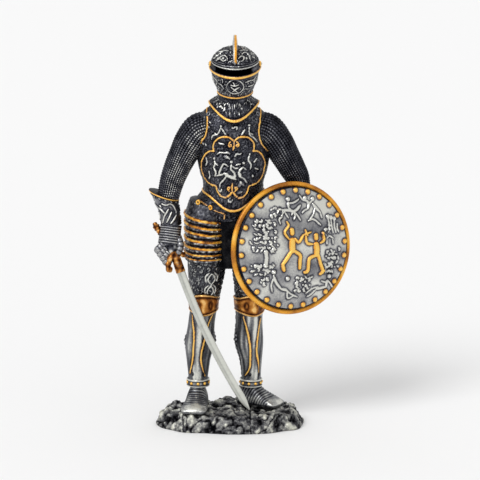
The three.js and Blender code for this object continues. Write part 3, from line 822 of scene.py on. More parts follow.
class Graph:
    """A small helper that wires shader nodes of one material."""

    def __init__(self, name: str) -> None:
        """Starts an empty material.

        Args:
            name: The material's name.
        """
        self.material = bpy.data.materials.new(name)
        self.material.use_nodes = True
        self.tree = self.material.node_tree
        self.tree.nodes.clear()

    def node(
        self, kind: str, inputs: dict[str | int, object] | None = None, **settings: object
    ) -> bpy.types.Node:
        """Adds a node.

        Args:
            kind: Its type, without the leading ShaderNode.
            inputs: What its inputs are set or linked to.
            **settings: Properties of the node.

        Returns:
            The node.
        """
        made = self.tree.nodes.new("ShaderNode" + kind)
        for key, value in settings.items():
            setattr(made, key, value)
        for key, value in (inputs or {}).items():
            if isinstance(value, bpy.types.NodeSocket):
                self.tree.links.new(value, made.inputs[key])
            else:
                made.inputs[key].default_value = value
        return made

    def math(self, operation: str, a: object, b: object = 0.0, clamp: bool = False) -> bpy.types.NodeSocket:
        """One step of arithmetic."""
        return self.node("Math", {0: a, 1: b}, operation=operation, use_clamp=clamp).outputs[0]

    def mix(self, factor: object, a: object, b: object) -> bpy.types.NodeSocket:
        """One colour over another."""
        made = self.node("Mix", {0: factor, 6: a, 7: b}, data_type="RGBA")
        return made.outputs[2]

    def blend(self, factor: object, a: object, b: object) -> bpy.types.NodeSocket:
        """A number between two others."""
        return self.node("Mix", {0: factor, 2: a, 3: b}, data_type="FLOAT").outputs[0]

    def noise(self, size: float, detail: float = 2.0, rough: float = 0.55) -> bpy.types.NodeSocket:
        """Cloudy noise with lumps of a size in mm, about 0.5 in the mean.

        Args:
            size: Size of the lumps in mm.
            detail: How many finer layers it has.
            rough: How strong those are.

        Returns:
            The value at each point.
        """
        place = self.node("TexCoord").outputs["Object"]
        inputs = {"Vector": place, "Scale": 1 / (size * MM), "Detail": detail, "Roughness": rough}
        return self.node("TexNoise", inputs).outputs["Fac"]

    def coat(self, name: str) -> bpy.types.NodeSocket:
        """A point attribute of the mesh."""
        return self.node("Attribute", attribute_name=name).outputs["Fac"]

    def ramp(self, factor: object, stops: Iterable[tuple[float, Colour]]) -> bpy.types.NodeSocket:
        """A colour for each value of the factor.

        Args:
            factor: What picks the colour.
            stops: Places on the ramp, the two ends first.

        Returns:
            The colour at each point.
        """
        made = self.node("ValToRGB", {0: factor})
        bar = made.color_ramp
        for i, (place, colour) in enumerate(stops):
            stop = bar.elements[i] if i < 2 else bar.elements.new(place)
            stop.position = place
            stop.color = (*colour, 1.0)
        return made.outputs[0]


@dataclass(frozen=True)
class AntiquePewter:
    """Cast pewter with black wash in its recesses, rubbed bright on the relief and painted on the trims."""

    name: str
    recess: Colour = (0.003, 0.003, 0.006)
    body: Colour = (0.070, 0.072, 0.088)
    half: Colour = (0.215, 0.218, 0.232)
    bright: Colour = (0.72, 0.72, 0.66)
    # Gold and bronze as four colours in the order of the places in make: painted shade, painted highlight,
    # the paint's dark and its full colour.
    gold: tuple[Colour, Colour, Colour, Colour] = (
        (0.060, 0.018, 0.003), (0.95, 0.60, 0.13), (0.40, 0.140, 0.012), (0.84, 0.37, 0.026),
    )
    bronze: tuple[Colour, Colour, Colour, Colour] = (
        (0.030, 0.009, 0.004), (0.90, 0.56, 0.20), (0.21, 0.068, 0.013), (0.56, 0.235, 0.045),
    )
    speckle: float = 0.75
    speckle_size: float = 0.42
    # How strongly painted glints brighten the raised relief.
    painted_glint: float = 0.30
    cloud: float = 0.4
    metallic: float = 0.8
    rough_bright: float = 0.32
    rough_dark: float = 0.5
    bump: float = 0.4

    def make(self) -> bpy.types.Material:
        """Builds the material.

        Returns:
            The material.
        """
        g = Graph(self.name)
        fine = g.noise(self.speckle_size, 3.0, 0.6)
        grain = g.noise(0.16, 2.0, 0.6)
        cloud = g.noise(3.2, 3.0, 0.55)
        highlight_spots = g.node("MapRange", {"Value": g.noise(0.3, 1.0), "From Min": 0.6, "From Max": 0.72}).outputs[0]
        relief, gilt, bronze, soot = (g.coat(name) for name in CHANNELS)
        uneven = g.math("MULTIPLY", g.math("SUBTRACT", fine, 0.5), self.speckle)
        drift = g.math("MULTIPLY", g.math("SUBTRACT", cloud, 0.5), self.cloud)
        painted = g.math("ADD", g.math("ADD", relief, uneven), drift, clamp=True)
        # Painted glints: sparse bright spots laid over the raised relief.
        painted_glint = g.math("MULTIPLY", g.math("MULTIPLY", highlight_spots, relief), self.painted_glint)
        tone = g.math("ADD", painted, painted_glint, clamp=True)
        ends = [(0.0, self.recess), (1.0, self.bright)]
        metal = g.ramp(tone, [*ends, (0.30, self.body), (0.56, self.half), (0.86, self.bright)])
        # The gold and bronze follow the tone from painted shade on a line's flanks to a painted highlight on
        # its crest.
        places = (0.12, 0.98, 0.42, 0.72)
        colour = g.mix(bronze, metal, g.ramp(painted, zip(places, self.bronze)))
        colour = g.mix(gilt, colour, g.ramp(painted, zip(places, self.gold)))
        colour = g.mix(soot, colour, (0.0006, 0.0006, 0.001, 1.0))
        rough = g.blend(tone, self.rough_dark, self.rough_bright)
        rough = g.blend(gilt, rough, 0.38)
        rough = g.blend(soot, rough, 0.8)
        shine = g.blend(tone, 1.0, self.metallic)
        shine = g.blend(gilt, shine, 0.45)
        shine = g.blend(soot, shine, 1.0)
        rise = g.math("ADD", g.math("MULTIPLY", fine, 0.7), g.math("MULTIPLY", grain, 0.5))
        bump = g.node("Bump", {"Height": rise, "Strength": self.bump, "Distance": 0.12 * MM})
        shader = g.node(
            "BsdfPrincipled",
            {"Base Color": colour, "Metallic": shine, "Roughness": rough, "Normal": bump.outputs[0]},
        )
        g.node("OutputMaterial", {"Surface": shader.outputs[0]})
        return g.material


PLATE = AntiquePewter("embossed_plate")
MAIL = AntiquePewter("ring_mail", recess=(0.002, 0.002, 0.004), speckle=0.5, cloud=0.3, painted_glint=0.5)
GREAVE = AntiquePewter("rubbed_greave", speckle=0.4, body=(0.085, 0.088, 0.10), half=(0.24, 0.245, 0.25))
GAUNTLET = AntiquePewter("gauntlet_plate", speckle=0.6, half=(0.25, 0.25, 0.265))
BRIGHT = AntiquePewter(
    "polished_shield",
    recess=(0.010, 0.010, 0.016),
    body=(0.13, 0.133, 0.155),
    half=(0.36, 0.36, 0.36),
    bright=(0.74, 0.74, 0.68),
    speckle=0.4,
    cloud=0.5,
    painted_glint=0.12,
    rough_bright=0.28,
)
STEEL = AntiquePewter(
    "satin_blade",
    recess=(0.05, 0.05, 0.05),
    body=(0.30, 0.31, 0.29),
    half=(0.50, 0.51, 0.47),
    bright=(0.68, 0.69, 0.63),
    speckle=0.25,
    speckle_size=0.8,
    cloud=0.3,
    painted_glint=0.0,
    metallic=0.7,
    bump=0.15,
)
ROCK = AntiquePewter(
    "dry_brushed_rock",
    recess=(0.002, 0.002, 0.003),
    body=(0.075, 0.075, 0.082),
    half=(0.26, 0.26, 0.25),
    bright=(0.62, 0.62, 0.54),
    speckle=0.8,
    speckle_size=0.6,
    metallic=0.5,
    rough_dark=0.7,
    rough_bright=0.45,
)


# Castings


def bodies(mesh: bpy.types.Mesh) -> Array:
    """Finds which points of a mesh hang together.

    Args:
        mesh: The mesh.

    Returns:
        For each point, the lowest number of a point in its body.
    """
    ends = np.empty(len(mesh.edges) * 2, np.int32)
    mesh.edges.foreach_get("vertices", ends)
    ends = ends.reshape(-1, 2)
    body = np.arange(len(mesh.vertices))
    while True:
        lowest = body[ends].min(1)
        joined = body.copy()
        np.minimum.at(joined, ends[:, 0], lowest)
        np.minimum.at(joined, ends[:, 1], lowest)
        joined = joined[joined]
        if np.array_equal(joined, body):
            return body
        body = joined


def sweep(mesh: bpy.types.Mesh) -> None:
    """Takes out the crumbs that a union leaves inside a casting where a bent skin folds over.

    Args:
        mesh: The united mesh.
    """
    body = bodies(mesh)
    points = np.bincount(body)
    crumbs = np.flatnonzero(points[body] < CRUMB_POINTS)
    if len(crumbs):
        work = bmesh.new()
        work.from_mesh(mesh)
        work.verts.ensure_lookup_table()
        bmesh.ops.delete(work, geom=[work.verts[i] for i in crumbs], context="VERTS")
        work.to_mesh(mesh)
        work.free()
    if np.count_nonzero(points >= CRUMB_POINTS) > 1:
        log.warning("%s: a part of it is loose", mesh.name)


def united(skins: Sequence[Skin], name: str, material: bpy.types.Material) -> bpy.types.Object:
    """Joins closed skins into one closed body.

    Args:
        skins: The skins, which overlap where they meet.
        name: The name of the body.
        material: Its material.

    Returns:
        The object, in the scene.
    """
    made = []
    for i, skin in enumerate(skins):
        mesh = skin.mesh(f"{name}_{i}")
        mesh.materials.append(material)
        body = bpy.data.objects.new(f"{name}_{i}" if i else name, mesh)
        bpy.context.scene.collection.objects.link(body)
        made.append(body)
    whole = made[0]
    if len(made) > 1:
        group = bpy.data.collections.new(name + "_parts")
        for part in made[1:]:
            group.objects.link(part)
        joint = whole.modifiers.new("union", "BOOLEAN")
        joint.operation, joint.operand_type, joint.solver = "UNION", "COLLECTION", "MANIFOLD"
        joint.collection = group
        graph = bpy.context.evaluated_depsgraph_get()
        merged = bpy.data.meshes.new_from_object(
            whole.evaluated_get(graph), preserve_all_data_layers=True, depsgraph=graph
        )
        whole.modifiers.clear()
        merged.name = name
        sweep(merged)
        whole.data = merged
        merged.materials.clear()
        merged.materials.append(material)
        for part in made[1:]:
            bpy.data.objects.remove(part)
        bpy.data.collections.remove(group)
    whole.data.name = name
    whole.data.polygons.foreach_set("use_smooth", np.ones(len(whole.data.polygons), bool))
    whole.data.update()
    return whole


@dataclass(frozen=True)
class Casting:
    """A sub-assembly: one closed body that stands for part of a solid."""

    name: str = ""
    node: str = "knight"
    slot: str = "antique_pewter"
    finish: AntiquePewter = PLATE

    def skins(self) -> list[Skin]:
        """The skins that make it up."""
        raise NotImplementedError

    def build(self, materials: dict[str, bpy.types.Material]) -> bpy.types.Object:
        """Makes the piece, dresses it and hangs it on the frame.

        Args:
            materials: The materials made so far, by name.

        Returns:
            The piece.
        """
        if self.finish.name not in materials:
            materials[self.finish.name] = self.finish.make()
        piece = united(self.skins(), self.name, materials[self.finish.name])
        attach(piece, "root")
        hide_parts(self.node)
        log.info("%s: %d faces", piece.name, len(piece.data.polygons))
        return piece


def all_at(x: float, levels: Iterable[Level], **same: float) -> tuple[Level, ...]:
    """Levels with the x that they share, unless they have one of their own."""
    return tuple(replace(level, x=level.x or x, **same) for level in levels)


@dataclass(frozen=True)
class Helmet(Casting):
    """The closed helmet with its comb, eye slot, rounded chin piece and neck guard."""

    name: str = "helmet"
    row_step: float = 0.16
    columns: int = 268
    axis: float = 1.1
    chart_radius: float = 6.8
    slot_low: float = 98.66
    slot_high: float = 99.78
    slot_right: float = math.radians(-56)
    slot_left: float = math.radians(50)
    fin_heart: Point3 = (1.1, 0.4, 97.6)
    fin_reach: float = 7.4
    fin_crest: float = 1.8

    def levels(self) -> tuple[Level, ...]:
        """From inside the neck guard, round its lower edge and up to the crown.

        Returns:
            The levels.
        """
        return all_at(
            self.axis,
            [
                Level(86.0, 4.6, 4.0, 4.2, x=0.8),
                Level(88.1, 6.0, 6.8, 5.6, x=0.8, dip=3.6, vee=2.7),
                Level(88.3, 6.7, 8.1, 6.6, x=0.8, dip=3.7, vee=2.7, ridge=0.3),
                Level(88.9, 6.4, 7.8, 6.4, x=0.8, dip=3.3, vee=2.7, ridge=0.3),
                Level(89.6, 5.3, 6.7, 5.6, x=0.8, dip=2.1, vee=2.7, ridge=0.2),
                Level(90.4, 4.4, 5.7, 5.1, x=0.9, dip=0.8),
                Level(90.9, 4.2, 5.6, 5.0, x=1.0, dip=0.3),
                Level(91.1, 4.8, 7.2, 5.8, ridge=0.3, dip=0.3),
                Level(91.8, 4.7, 7.3, 5.9, ridge=0.4, dip=0.3),
                Level(92.8, 5.0, 7.9, 6.3, ridge=0.5, dip=0.2),
                Level(94.6, 5.8, 8.4, 6.8, ridge=0.6, dip=0.4),
                Level(97.5, 6.5, 8.4, 7.1, ridge=0.5, dip=1.3),
                Level(97.8, 6.8, 8.6, 7.3, ridge=0.3, dip=1.3),
                Level(98.6, 6.8, 8.6, 7.3, ridge=0.2, dip=1.2),
                Level(98.8, 6.6, 8.0, 7.1, dip=1.2),
                Level(99.5, 6.5, 7.9, 7.1, dip=1.0),
                Level(100.7, 6.0, 6.9, 6.6, dip=0.4),
                Level(102.1, 4.8, 5.3, 5.5),
                Level(103.1, 3.3, 3.5, 4.2),
                Level(103.6, 1.4, 1.6, 2.2),
            ],
        )

    def chasing(self) -> Carving:
        """Fine scrolls of the face piece and neck guard, on a chart of distance round and level height.

        Returns:
            The lines.
        """
        half = Carving()
        half.add(
            spiral((9.6, 95.6), 1.2, 2.8, 1.2),
            spiral((12.6, 96.0), 1.1, 0.6, -1.1),
            spiral((16.0, 95.4), 1.2, 0.6, -1.1),
            [(10.6, 93.2), (12.0, 94.2), (14.0, 93.6)],
            width=0.18,
            height=0.22,
        )
        whole = half.mirrored()
        whole.strokes += curls(4, (-22, 22), (92.3, 97.2), 1.0, 0.12, 0.13)
        whole.strokes += curls(5, (-22, 22), (88.6, 90.6), 0.8, 0.11, 0.12)
        return whole

    def front_lines(self) -> Carving:
        """The medallion, scrolls and leafy branches that show from the front.

        Returns:
            The lines.
        """
        lines = Carving()
        lines.add(
            [(-5.0, 100.1), (-4.8, 100.6), (-4.0, 101.3), (-3.1, 102.1), (-2.1, 102.8), (-1.6, 103.1)],
            [(-3.1, 102.4), (-2.2, 102.9), (-1.3, 103.1), (-0.5, 103.1)],
            [(-4.3, 100.4), (-3.4, 100.9), (-2.7, 101.7), (-1.8, 102.2), (-0.8, 101.7), (-1.0, 101.1)],
            [(-2.8, 101.3), (-2.1, 100.8), (-1.3, 101.2)],
            [(-4.0, 100.2), (-3.1, 100.5), (-2.2, 100.3), (-1.5, 100.2)],
            [(2.3, 103.1), (2.9, 103.2), (3.5, 103.2), (4.4, 102.9)],
            [(2.9, 102.5), (3.8, 102.8), (4.6, 102.3), (5.0, 101.3), (5.3, 100.5)],
            [(2.0, 101.6), (2.6, 102.1), (3.3, 102.2), (3.5, 101.4), (2.8, 100.9)],
            [(3.2, 100.4), (4.4, 100.2), (5.6, 100.3), (6.3, 100.7)],
            [(1.9, 100.6), (2.5, 101.0)],
            width=0.17,
            height=0.26,
            tone=0.95,
        )
        lines.add([(-2.0, 101.6)], [(2.1, 100.3)], [(2.9, 100.2)], [(-3.4, 101.3)],
            [(4.1, 101.6)], width=0.36, height=0.28)
        lines.add(
            [(-1.2, 94.4), (-0.8, 95.5), (0.1, 96.3), (1.1, 96.5), (2.2, 96.2), (3.1, 95.3), (3.3, 94.2),
             (2.6, 93.2),
             (1.4, 92.7), (0.3, 92.8), (-0.7, 93.4), (-1.2, 94.4)],
            [(-4.8, 96.6), (-4.3, 95.9), (-3.4, 95.4), (-3.9, 94.2)],
            [(-3.3, 95.0), (-2.4, 94.7), (-1.8, 93.6)],
            [(3.8, 95.5), (5.0, 95.9), (6.1, 95.7), (6.5, 96.5)],
            [(4.4, 94.3), (5.4, 94.2), (6.0, 94.6)],
            [(-2.6, 96.6), (-2.0, 95.9), (-2.3, 95.3)],
            [(4.6, 96.9), (4.2, 96.4)],
            [(0.0, 94.6), (0.8, 93.9), (1.9, 93.0)],
            [(0.4, 93.2), (1.2, 93.9), (2.2, 94.5)],
            [(-0.1, 95.1), (1.0, 94.8), (2.1, 95.2)],
            [(0.6, 95.8), (1.1, 94.9)],
            [(1.1, 99.9), (1.1, 101.0)],
            [(-0.4, 87.4), (-0.1, 87.0), (-0.5, 86.6), (-0.2, 86.1)],
            width=0.16,
            height=0.24,
            tone=0.95,
        )
        return lines

    def trims(self) -> Carving:
        """The bands that run right round, on the chart of distance round and level height.

        Returns:
            The lines.
        """
        bands = Carving()
        kind = {"ends": 1.0, "smooth": False}
        bands.add(hoop(98.22), width=0.27, height=0.27, paint=Paint.GOLD, **kind)
        bands.add(hoop(99.92), width=0.11, height=0.14, tone=0.85, **kind)
        bands.add(hoop(100.3), width=0.09, height=0.1, tone=0.7, **kind)
        bands.add(hoop(91.5), width=0.19, height=0.2, paint=Paint.GOLD, **kind)
        bands.add(hoop(88.55), width=0.24, height=0.26, paint=Paint.GOLD, **kind)
        return bands

    def bowl(self) -> Skin:
        """The helmet and neck guard without the comb.

        Returns:
            The skin.
        """
        skin, z, azimuth = Upright(self.levels()).skin(self.row_step, self.columns)
        x, y, height = np.moveaxis(skin.grid, -1, 0)
        u = azimuth * self.chart_radius
        front = np.abs(azimuth) < math.pi / 2
        skin.shade(0.37 + 0.1 * waves(skin.grid, 4.0, 6))
        skin.lift(0.03 * waves(skin.grid, 0.9, 7))
        over = self.chart_radius * np.arctan2(height - 97.0, 0.3 - y)
        crown = Carving(curls(3, (-6.8, 6.8), (2.7, 19.0), 1.15, 0.15, 0.18))
        skin.carve(crown, x - self.axis, over, z > 100.2)
        skin.carve(self.chasing(), u, z, z < 98)
        skin.engrave(self.front_lines(), front & (z > 88.4))
        skin.carve(self.trims(), u, z)
        ends = np.minimum(azimuth - self.slot_right, self.slot_left - azimuth) * self.chart_radius
        depth = np.minimum(z - self.slot_low, self.slot_high - z)
        opening = smoothstep(0.0, 0.16, np.minimum(ends * 0.4, depth * 1.3))
        skin.height = skin.height * (1 - opening) - 1.9 * opening
        skin.paint(Paint.BLACK, opening > 0.04)
        skin.shade(np.full(z.shape, 0.1), (z > 90.7) & (z < 91.1))
        return skin

    def comb(self) -> Skin:
        """The tall fin over the crown, gold along its edge but for its right side.

        Returns:
            The skin.
        """
        turn = np.linspace(math.radians(72), math.radians(-94), 130)[:, None]
        reach = self.fin_reach + self.fin_crest * np.maximum(np.cos(turn), 0) ** 1.6
        side = np.concatenate([np.linspace(0, 1, 12), np.ones(7), np.linspace(1, 0, 12)])[None]
        way = np.concatenate([-np.ones(12), np.linspace(-1, 1, 9)[1:-1], np.ones(12)])[None]
        r = 5.0 + (reach - 5.0) * side - 0.1 * way**4 * (side > 0.99)
        half = 0.72 - 0.3 * side
        grid = np.stack(
            [
                self.fin_heart[0] + way * half + np.zeros_like(turn),
                self.fin_heart[1] - r * np.sin(turn),
                self.fin_heart[2] + r * np.cos(turn),
            ],
            -1,
        )
        skin = outward(Skin(grid))
        side, way = np.broadcast_to(side, skin.height.shape), np.broadcast_to(way, skin.height.shape)
        scallop = 0.5 + 0.5 * np.sin(turn * 34)
        skin.shade(np.where(side > 0.68, 0.74, 0.25 + 0.45 * scallop))
        skin.lift(0.09 * scallop * (side < 0.68) * (side > 0.3))
        return skin.paint(Paint.GOLD, (side > 0.68) & (way > -0.45))

    def pivots(self) -> list[Skin]:
        """The bosses at the temples that the face piece turns on.

        Returns:
            The closed skins.
        """
        made = []
        for way in (-1, 1):
            out = np.array([way, -0.12, 0.05])
            centre = np.array([self.axis + way * 6.75, -0.6, 99.2])
            made.append(dome(centre, out, 0.8, 0.35, Paint.GOLD))
            made.append(dome(centre + out * 0.3, out, 0.35, 0.3))
        return made

    def skins(self) -> list[Skin]:
        """The bowl, the comb and the two pivots."""
        return [self.bowl(), self.comb(), *self.pivots()]


@dataclass(frozen=True)
class Cuirass(Casting):
    """The breastplate and backplate, with the lobed gold frame round the riders in relief."""

    name: str = "breastplate"
    row_step: float = 0.18
    columns: int = 306
    axis: float = 0.6
    chart_radius: float = 8.0

    def levels(self) -> tuple[Level, ...]:
        """From the pointed lower edge up to the neck.

        Returns:
            The levels.
        """
        return all_at(
            self.axis,
            [
                Level(64.0, 6.6, 7.4, 4.4, dip=3.9, vee=5),
                Level(64.1, 8.4, 9.3, 5.7, dip=3.9, vee=5, ridge=0.2),
                Level(64.8, 8.1, 9.3, 5.5, dip=3.8, vee=5, ridge=0.2),
                Level(66.4, 8.1, 9.2, 5.2, dip=1.6, vee=3, ridge=0.3),
                Level(70.0, 9.1, 9.1, 5.8, ridge=0.3),
                Level(74.0, 9.7, 8.5, 6.3, ridge=0.2),
                Level(78.0, 9.6, 7.8, 6.5, ridge=0.2),
                Level(82.0, 9.5, 6.8, 6.1),
                Level(85.4, 8.5, 5.7, 5.3),
                Level(87.6, 6.0, 4.6, 4.4),
            ],
            round=2.15,
        )

    @staticmethod
    def leaning(path: Sequence[Point2], way: int) -> list[Point2]:
        """A path about the breastplate's own middle line, which leans a little to the left."""
        return [(way * u + 0.35 + 0.03 * (v - 65), v) for u, v in path]

    def frame_lines(self) -> Carving:
        """The gold cartouche, its scrolled knots and the lines along the armholes.

        Returns:
            The lines.
        """
        gold = Carving()
        lobes = [
            [(0.25, 79.6), (1.4, 80.4), (3.0, 80.5), (4.4, 79.9), (5.3, 78.7), (5.5, 77.4), (5.2, 76.6)],
            [(5.2, 76.6), (6.5, 76.4), (7.7, 75.1), (8.4, 73.1), (8.3, 71.0), (7.6, 69.0), (6.6, 67.8),
             (5.4, 67.35)],
            [(5.4, 67.35), (4.3, 67.2), (4.1, 66.0), (3.4, 64.9), (2.2, 64.3), (1.0, 64.7), (0.25, 65.9)],
        ]
        for way in (-1, 1):
            for lobe in lobes:
                gold.add(self.leaning(lobe, way), width=0.21, height=0.27, paint=Paint.GOLD, ends=1.0)
            for v in (76.6, 67.35):
                gold.add(self.leaning([(5.35, v)], way), width=0.34, height=0.32, paint=Paint.GOLD)
            gold.add(
                self.leaning(spiral((0.85, 78.4), 0.78, 1.6, -1.1), way),
                self.leaning(spiral((0.85, 66.9), 0.72, -1.8, 1.1), way),
                width=0.17,
                height=0.3,
                paint=Paint.GOLD,
                ends=1.0,
            )
        gold.add(
            self.leaning([(0.0, 79.4), (0.0, 78.2), (0.0, 77.1)], 1),
            self.leaning([(0.0, 65.8), (0.0, 67.0), (0.0, 68.1)], 1),
            width=0.22,
            height=0.32,
            paint=Paint.GOLD,
        )
        gold.add(
            [(-6.5, 87.4), (-6.3, 84.8), (-6.4, 82.3), (-6.9, 80.2), (-8.1, 77.9), (-9.2, 76.4),
             (-9.9, 75.6)],
            [(8.0, 87.4), (7.8, 84.6), (7.4, 81.9), (7.7, 79.5), (8.7, 77.3), (9.9, 75.6), (10.4, 75.0)],
            width=0.21,
            height=0.27,
            paint=Paint.GOLD,
            ends=1.0,
        )
        return gold

    def riders(self) -> Carving:
        """The figures and horses in the cartouche and over it, in bright relief.

        Returns:
            The lines.
        """
        lines = Carving()
        body = {"width": 0.27, "height": 0.34}
        lines.add(
            [(-4.4, 74.0), (-4.2, 73.1), (-4.7, 72.2)],
            [(-4.7, 72.2), (-3.9, 71.0), (-4.2, 69.9)],
            [(-3.2, 70.5), (-2.9, 71.7), (-2.1, 73.4)],
            [(0.2, 73.3), (-0.1, 72.1), (0.2, 71.7)],
            [(0.0, 72.0), (0.9, 71.0), (1.1, 69.6)],
            [(-2.1, 70.7), (-1.0, 70.9), (-0.4, 69.9), (1.5, 69.4)],
            [(3.2, 72.6), (2.2, 71.4), (2.1, 70.2), (3.0, 69.8)],
            [(4.9, 75.4), (4.6, 74.4), (5.4, 73.1)],
            **body,
        )
        lines.add([(-1.5, 70.6), (-0.6, 70.2), (0.9, 69.7)], [(2.2, 71.2),
            (2.5, 70.2)], width=0.42, height=0.36)
        limb = {"width": 0.2, "height": 0.3}
        lines.add(
            [(-4.3, 73.5), (-3.5, 72.9)],
            [(-2.1, 73.4), (-1.4, 73.3), (-0.7, 72.8)],
            [(0.3, 72.9), (1.1, 72.2), (1.9, 72.4)],
            [(1.4, 73.1), (2.5, 73.5)],
            [(-3.8, 70.1), (-2.9, 70.4), (-2.1, 70.6)],
            [(-0.8, 70.7), (-2.1, 68.9), (-2.9, 68.1), (-2.9, 66.9)],
            [(3.0, 69.8), (3.6, 69.2), (4.2, 68.2)],
            [(3.2, 72.5), (4.0, 71.9)],
            [(5.4, 73.1), (5.2, 71.9)],
            [(5.0, 76.1), (4.9, 75.4)],
            [(6.3, 72.1), (7.3, 71.5)],
            [(6.1, 73.6), (6.9, 74.4)],
            [(1.1, 75.3), (1.5, 76.2), (2.5, 75.9), (2.7, 76.3)],
            [(-3.7, 75.7), (-2.9, 76.5), (-1.9, 76.2), (-0.8, 76.6), (-0.4, 76.0)],
            [(-1.2, 75.6), (-0.4, 74.6)],
            [(-3.3, 78.9), (-2.7, 78.5), (-2.2, 78.8), (-1.7, 78.5)],
            [(-3.3, 66.6), (-3.1, 65.8), (-2.5, 65.9), (-2.4, 66.5)],
            [(-5.8, 71.2), (-5.6, 70.2), (-5.8, 68.8)],
            [(-6.6, 74.6), (-6.3, 73.4), (-6.7, 72.4)],
            [(-5.2, 79.6), (-4.9, 80.7), (-3.7, 80.9), (-3.1, 81.8), (-2.7, 82.9)],
            [(-4.3, 81.3), (-3.6, 80.8)],
            [(-2.6, 82.8), (-1.9, 81.8), (-1.2, 80.9)],
            [(3.7, 82.4), (3.2, 81.6), (2.7, 80.8)],
            [(4.9, 82.9), (4.8, 82.0), (5.1, 80.7), (6.3, 79.9), (6.9, 78.9)],
            [(5.2, 81.3), (5.9, 80.9)],
            [(0.3, 83.0), (0.6, 82.5), (1.0, 83.2), (1.7, 83.1), (1.6, 82.3)],
            [(-0.1, 64.3), (-0.8, 63.8), (-0.4, 62.9), (0.4, 63.5)],
            [(-7.4, 79.6), (-7.6, 78.6), (-7.3, 77.9)],
            [(-5.9, 84.3), (-5.3, 83.7)],
            [(-6.8, 78.4), (-6.6, 77.6)],
            **limb,
        )
        heads = [(-4.4, 74.6), (0.2, 73.9), (3.4, 73.6), (4.9, 83.5), (-2.6, 83.2), (2.6, 68.4),
            (5.8, 69.9), (-5.9, 82.7)]
        lines.add(*[[p] for p in heads], width=0.36, height=0.4)
        boulders = [[(-1.9, 75.3), (-0.6, 75.0)], [(1.9, 67.2), (2.7, 68.3), (3.4, 67.6)], [(2.0, 65.6),
            (3.0, 65.9)]]
        lines.add(*boulders, width=0.4, height=0.2, tone=0.62)
        return lines

    def back_scrolls(self) -> Carving:
        """A balanced panel of scrolls for the backplate, about its middle.

        Returns:
            The lines.
        """
        half = Carving()
        half.add(
            spiral((2.6, 79.0), 2.0, 2.2, -1.3),
            spiral((4.4, 74.2), 2.0, 2.6, 1.3),
            spiral((2.6, 69.2), 2.0, -2.4, 1.3),
            [(0.4, 66.8), (1.6, 70.4), (0.6, 74.6), (1.6, 78.4), (0.5, 82.0)],
            [(5.2, 82.4), (6.4, 79.4), (7.2, 76.6)],
            [(5.4, 70.8), (6.6, 72.8), (7.4, 75.0)],
            width=0.26,
            height=0.3,
        )
        return half.mirrored()

    def shell(self) -> Skin:
        """The whole trunk armour.

        Returns:
            The skin.
        """
        skin, z, azimuth = Upright(self.levels()).skin(self.row_step, self.columns)
        height = skin.grid[..., 2]
        front = np.abs(azimuth) < math.pi / 2
        chart = azimuth * self.chart_radius
        skin.shade(0.40 + 0.11 * waves(skin.grid, 5.0, 12))
        skin.lift(0.03 * waves(skin.grid, 0.9, 13))
        plain = Carving(curls(11, (-26, 26), (60, 87.5), 1.05, 0.1, 0.07))
        plain.strokes = [replace(s, tone=s.tone * 0.62) for s in plain.strokes]
        skin.carve(plain, chart, height)
        skin.engrave(self.riders(), front)
        skin.engrave(self.back_scrolls(), ~front)
        skin.engrave(self.frame_lines(), front)
        edge = Carving()
        edge.add(hoop(64.45), width=0.25, height=0.27, paint=Paint.GOLD, ends=1.0, smooth=False)
        return skin.carve(edge, chart, z)

    def skins(self) -> list[Skin]:
        """The trunk armour and the strap buckles on its shoulders.

        Returns:
            The closed skins.
        """
        shell = self.shell()
        made = [shell]
        for x in (-5.9, 7.1):
            made += buckle(*shell.seat(x, 86.0), 0.75, Paint.NONE, 0.5)
        return made


@dataclass(frozen=True)
class MailSleeve(Casting):
    """A sleeve of ring mail from the shoulder into the gauntlet."""

    finish: AntiquePewter = MAIL
    side: Side = Side.RIGHT
    stations: tuple[tuple[float, ...], ...] = ()
    row_step: float = 0.135
    columns: int = 226
    chain_pitch: float = 0.74
    ring_pitch: float = 0.62
    # How much painted light the rings get; a sleeve in shade gets less.
    brightness: float = 0.95

    def skins(self) -> list[Skin]:
        """The sleeve, with every ring of its long chains standing out of it.

        Returns:
            The closed skins.
        """
        skin, along, angle = limb_skin(self.stations, self.row_step, self.columns)
        mean = sum(s[3] + s[4] for s in self.stations) / len(self.stations) / 2
        count = round(TAU * mean / self.chain_pitch)
        chain = angle / TAU * count + 0.25 * np.sin(along * 0.5) * np.sin(angle)
        column = np.round(chain)
        du = (chain - column) * self.chain_pitch
        row = along / self.ring_pitch + 0.5 * (column % 2) + 0.3 * np.sin(column * 2.3)
        dv = (row - np.round(row)) * self.ring_pitch
        lean = np.where(column % 2 > 0.5, 1, -1)
        link = 1 - ((du + 0.35 * lean * dv) / 0.27) ** 2 - (dv / 0.31) ** 2
        height = np.sqrt(np.clip(link, 0, 1))
        skin.lift(0.3 * height - 0.12)
        patch = 0.5 + 0.5 * np.clip(waves(skin.grid, 2.6, 15), -1, 1)
        # Painted shade on the side of the sleeve towards the body.
        inner = smoothstep(0.2, 1.0, -self.side.value * np.sin(angle)) * np.cos(angle / 2) ** 0.5
        light = self.brightness * (0.55 + 0.45 * patch) * (1 - 0.72 * inner)
        return [skin.shade(0.02 + light * height**1.6)]


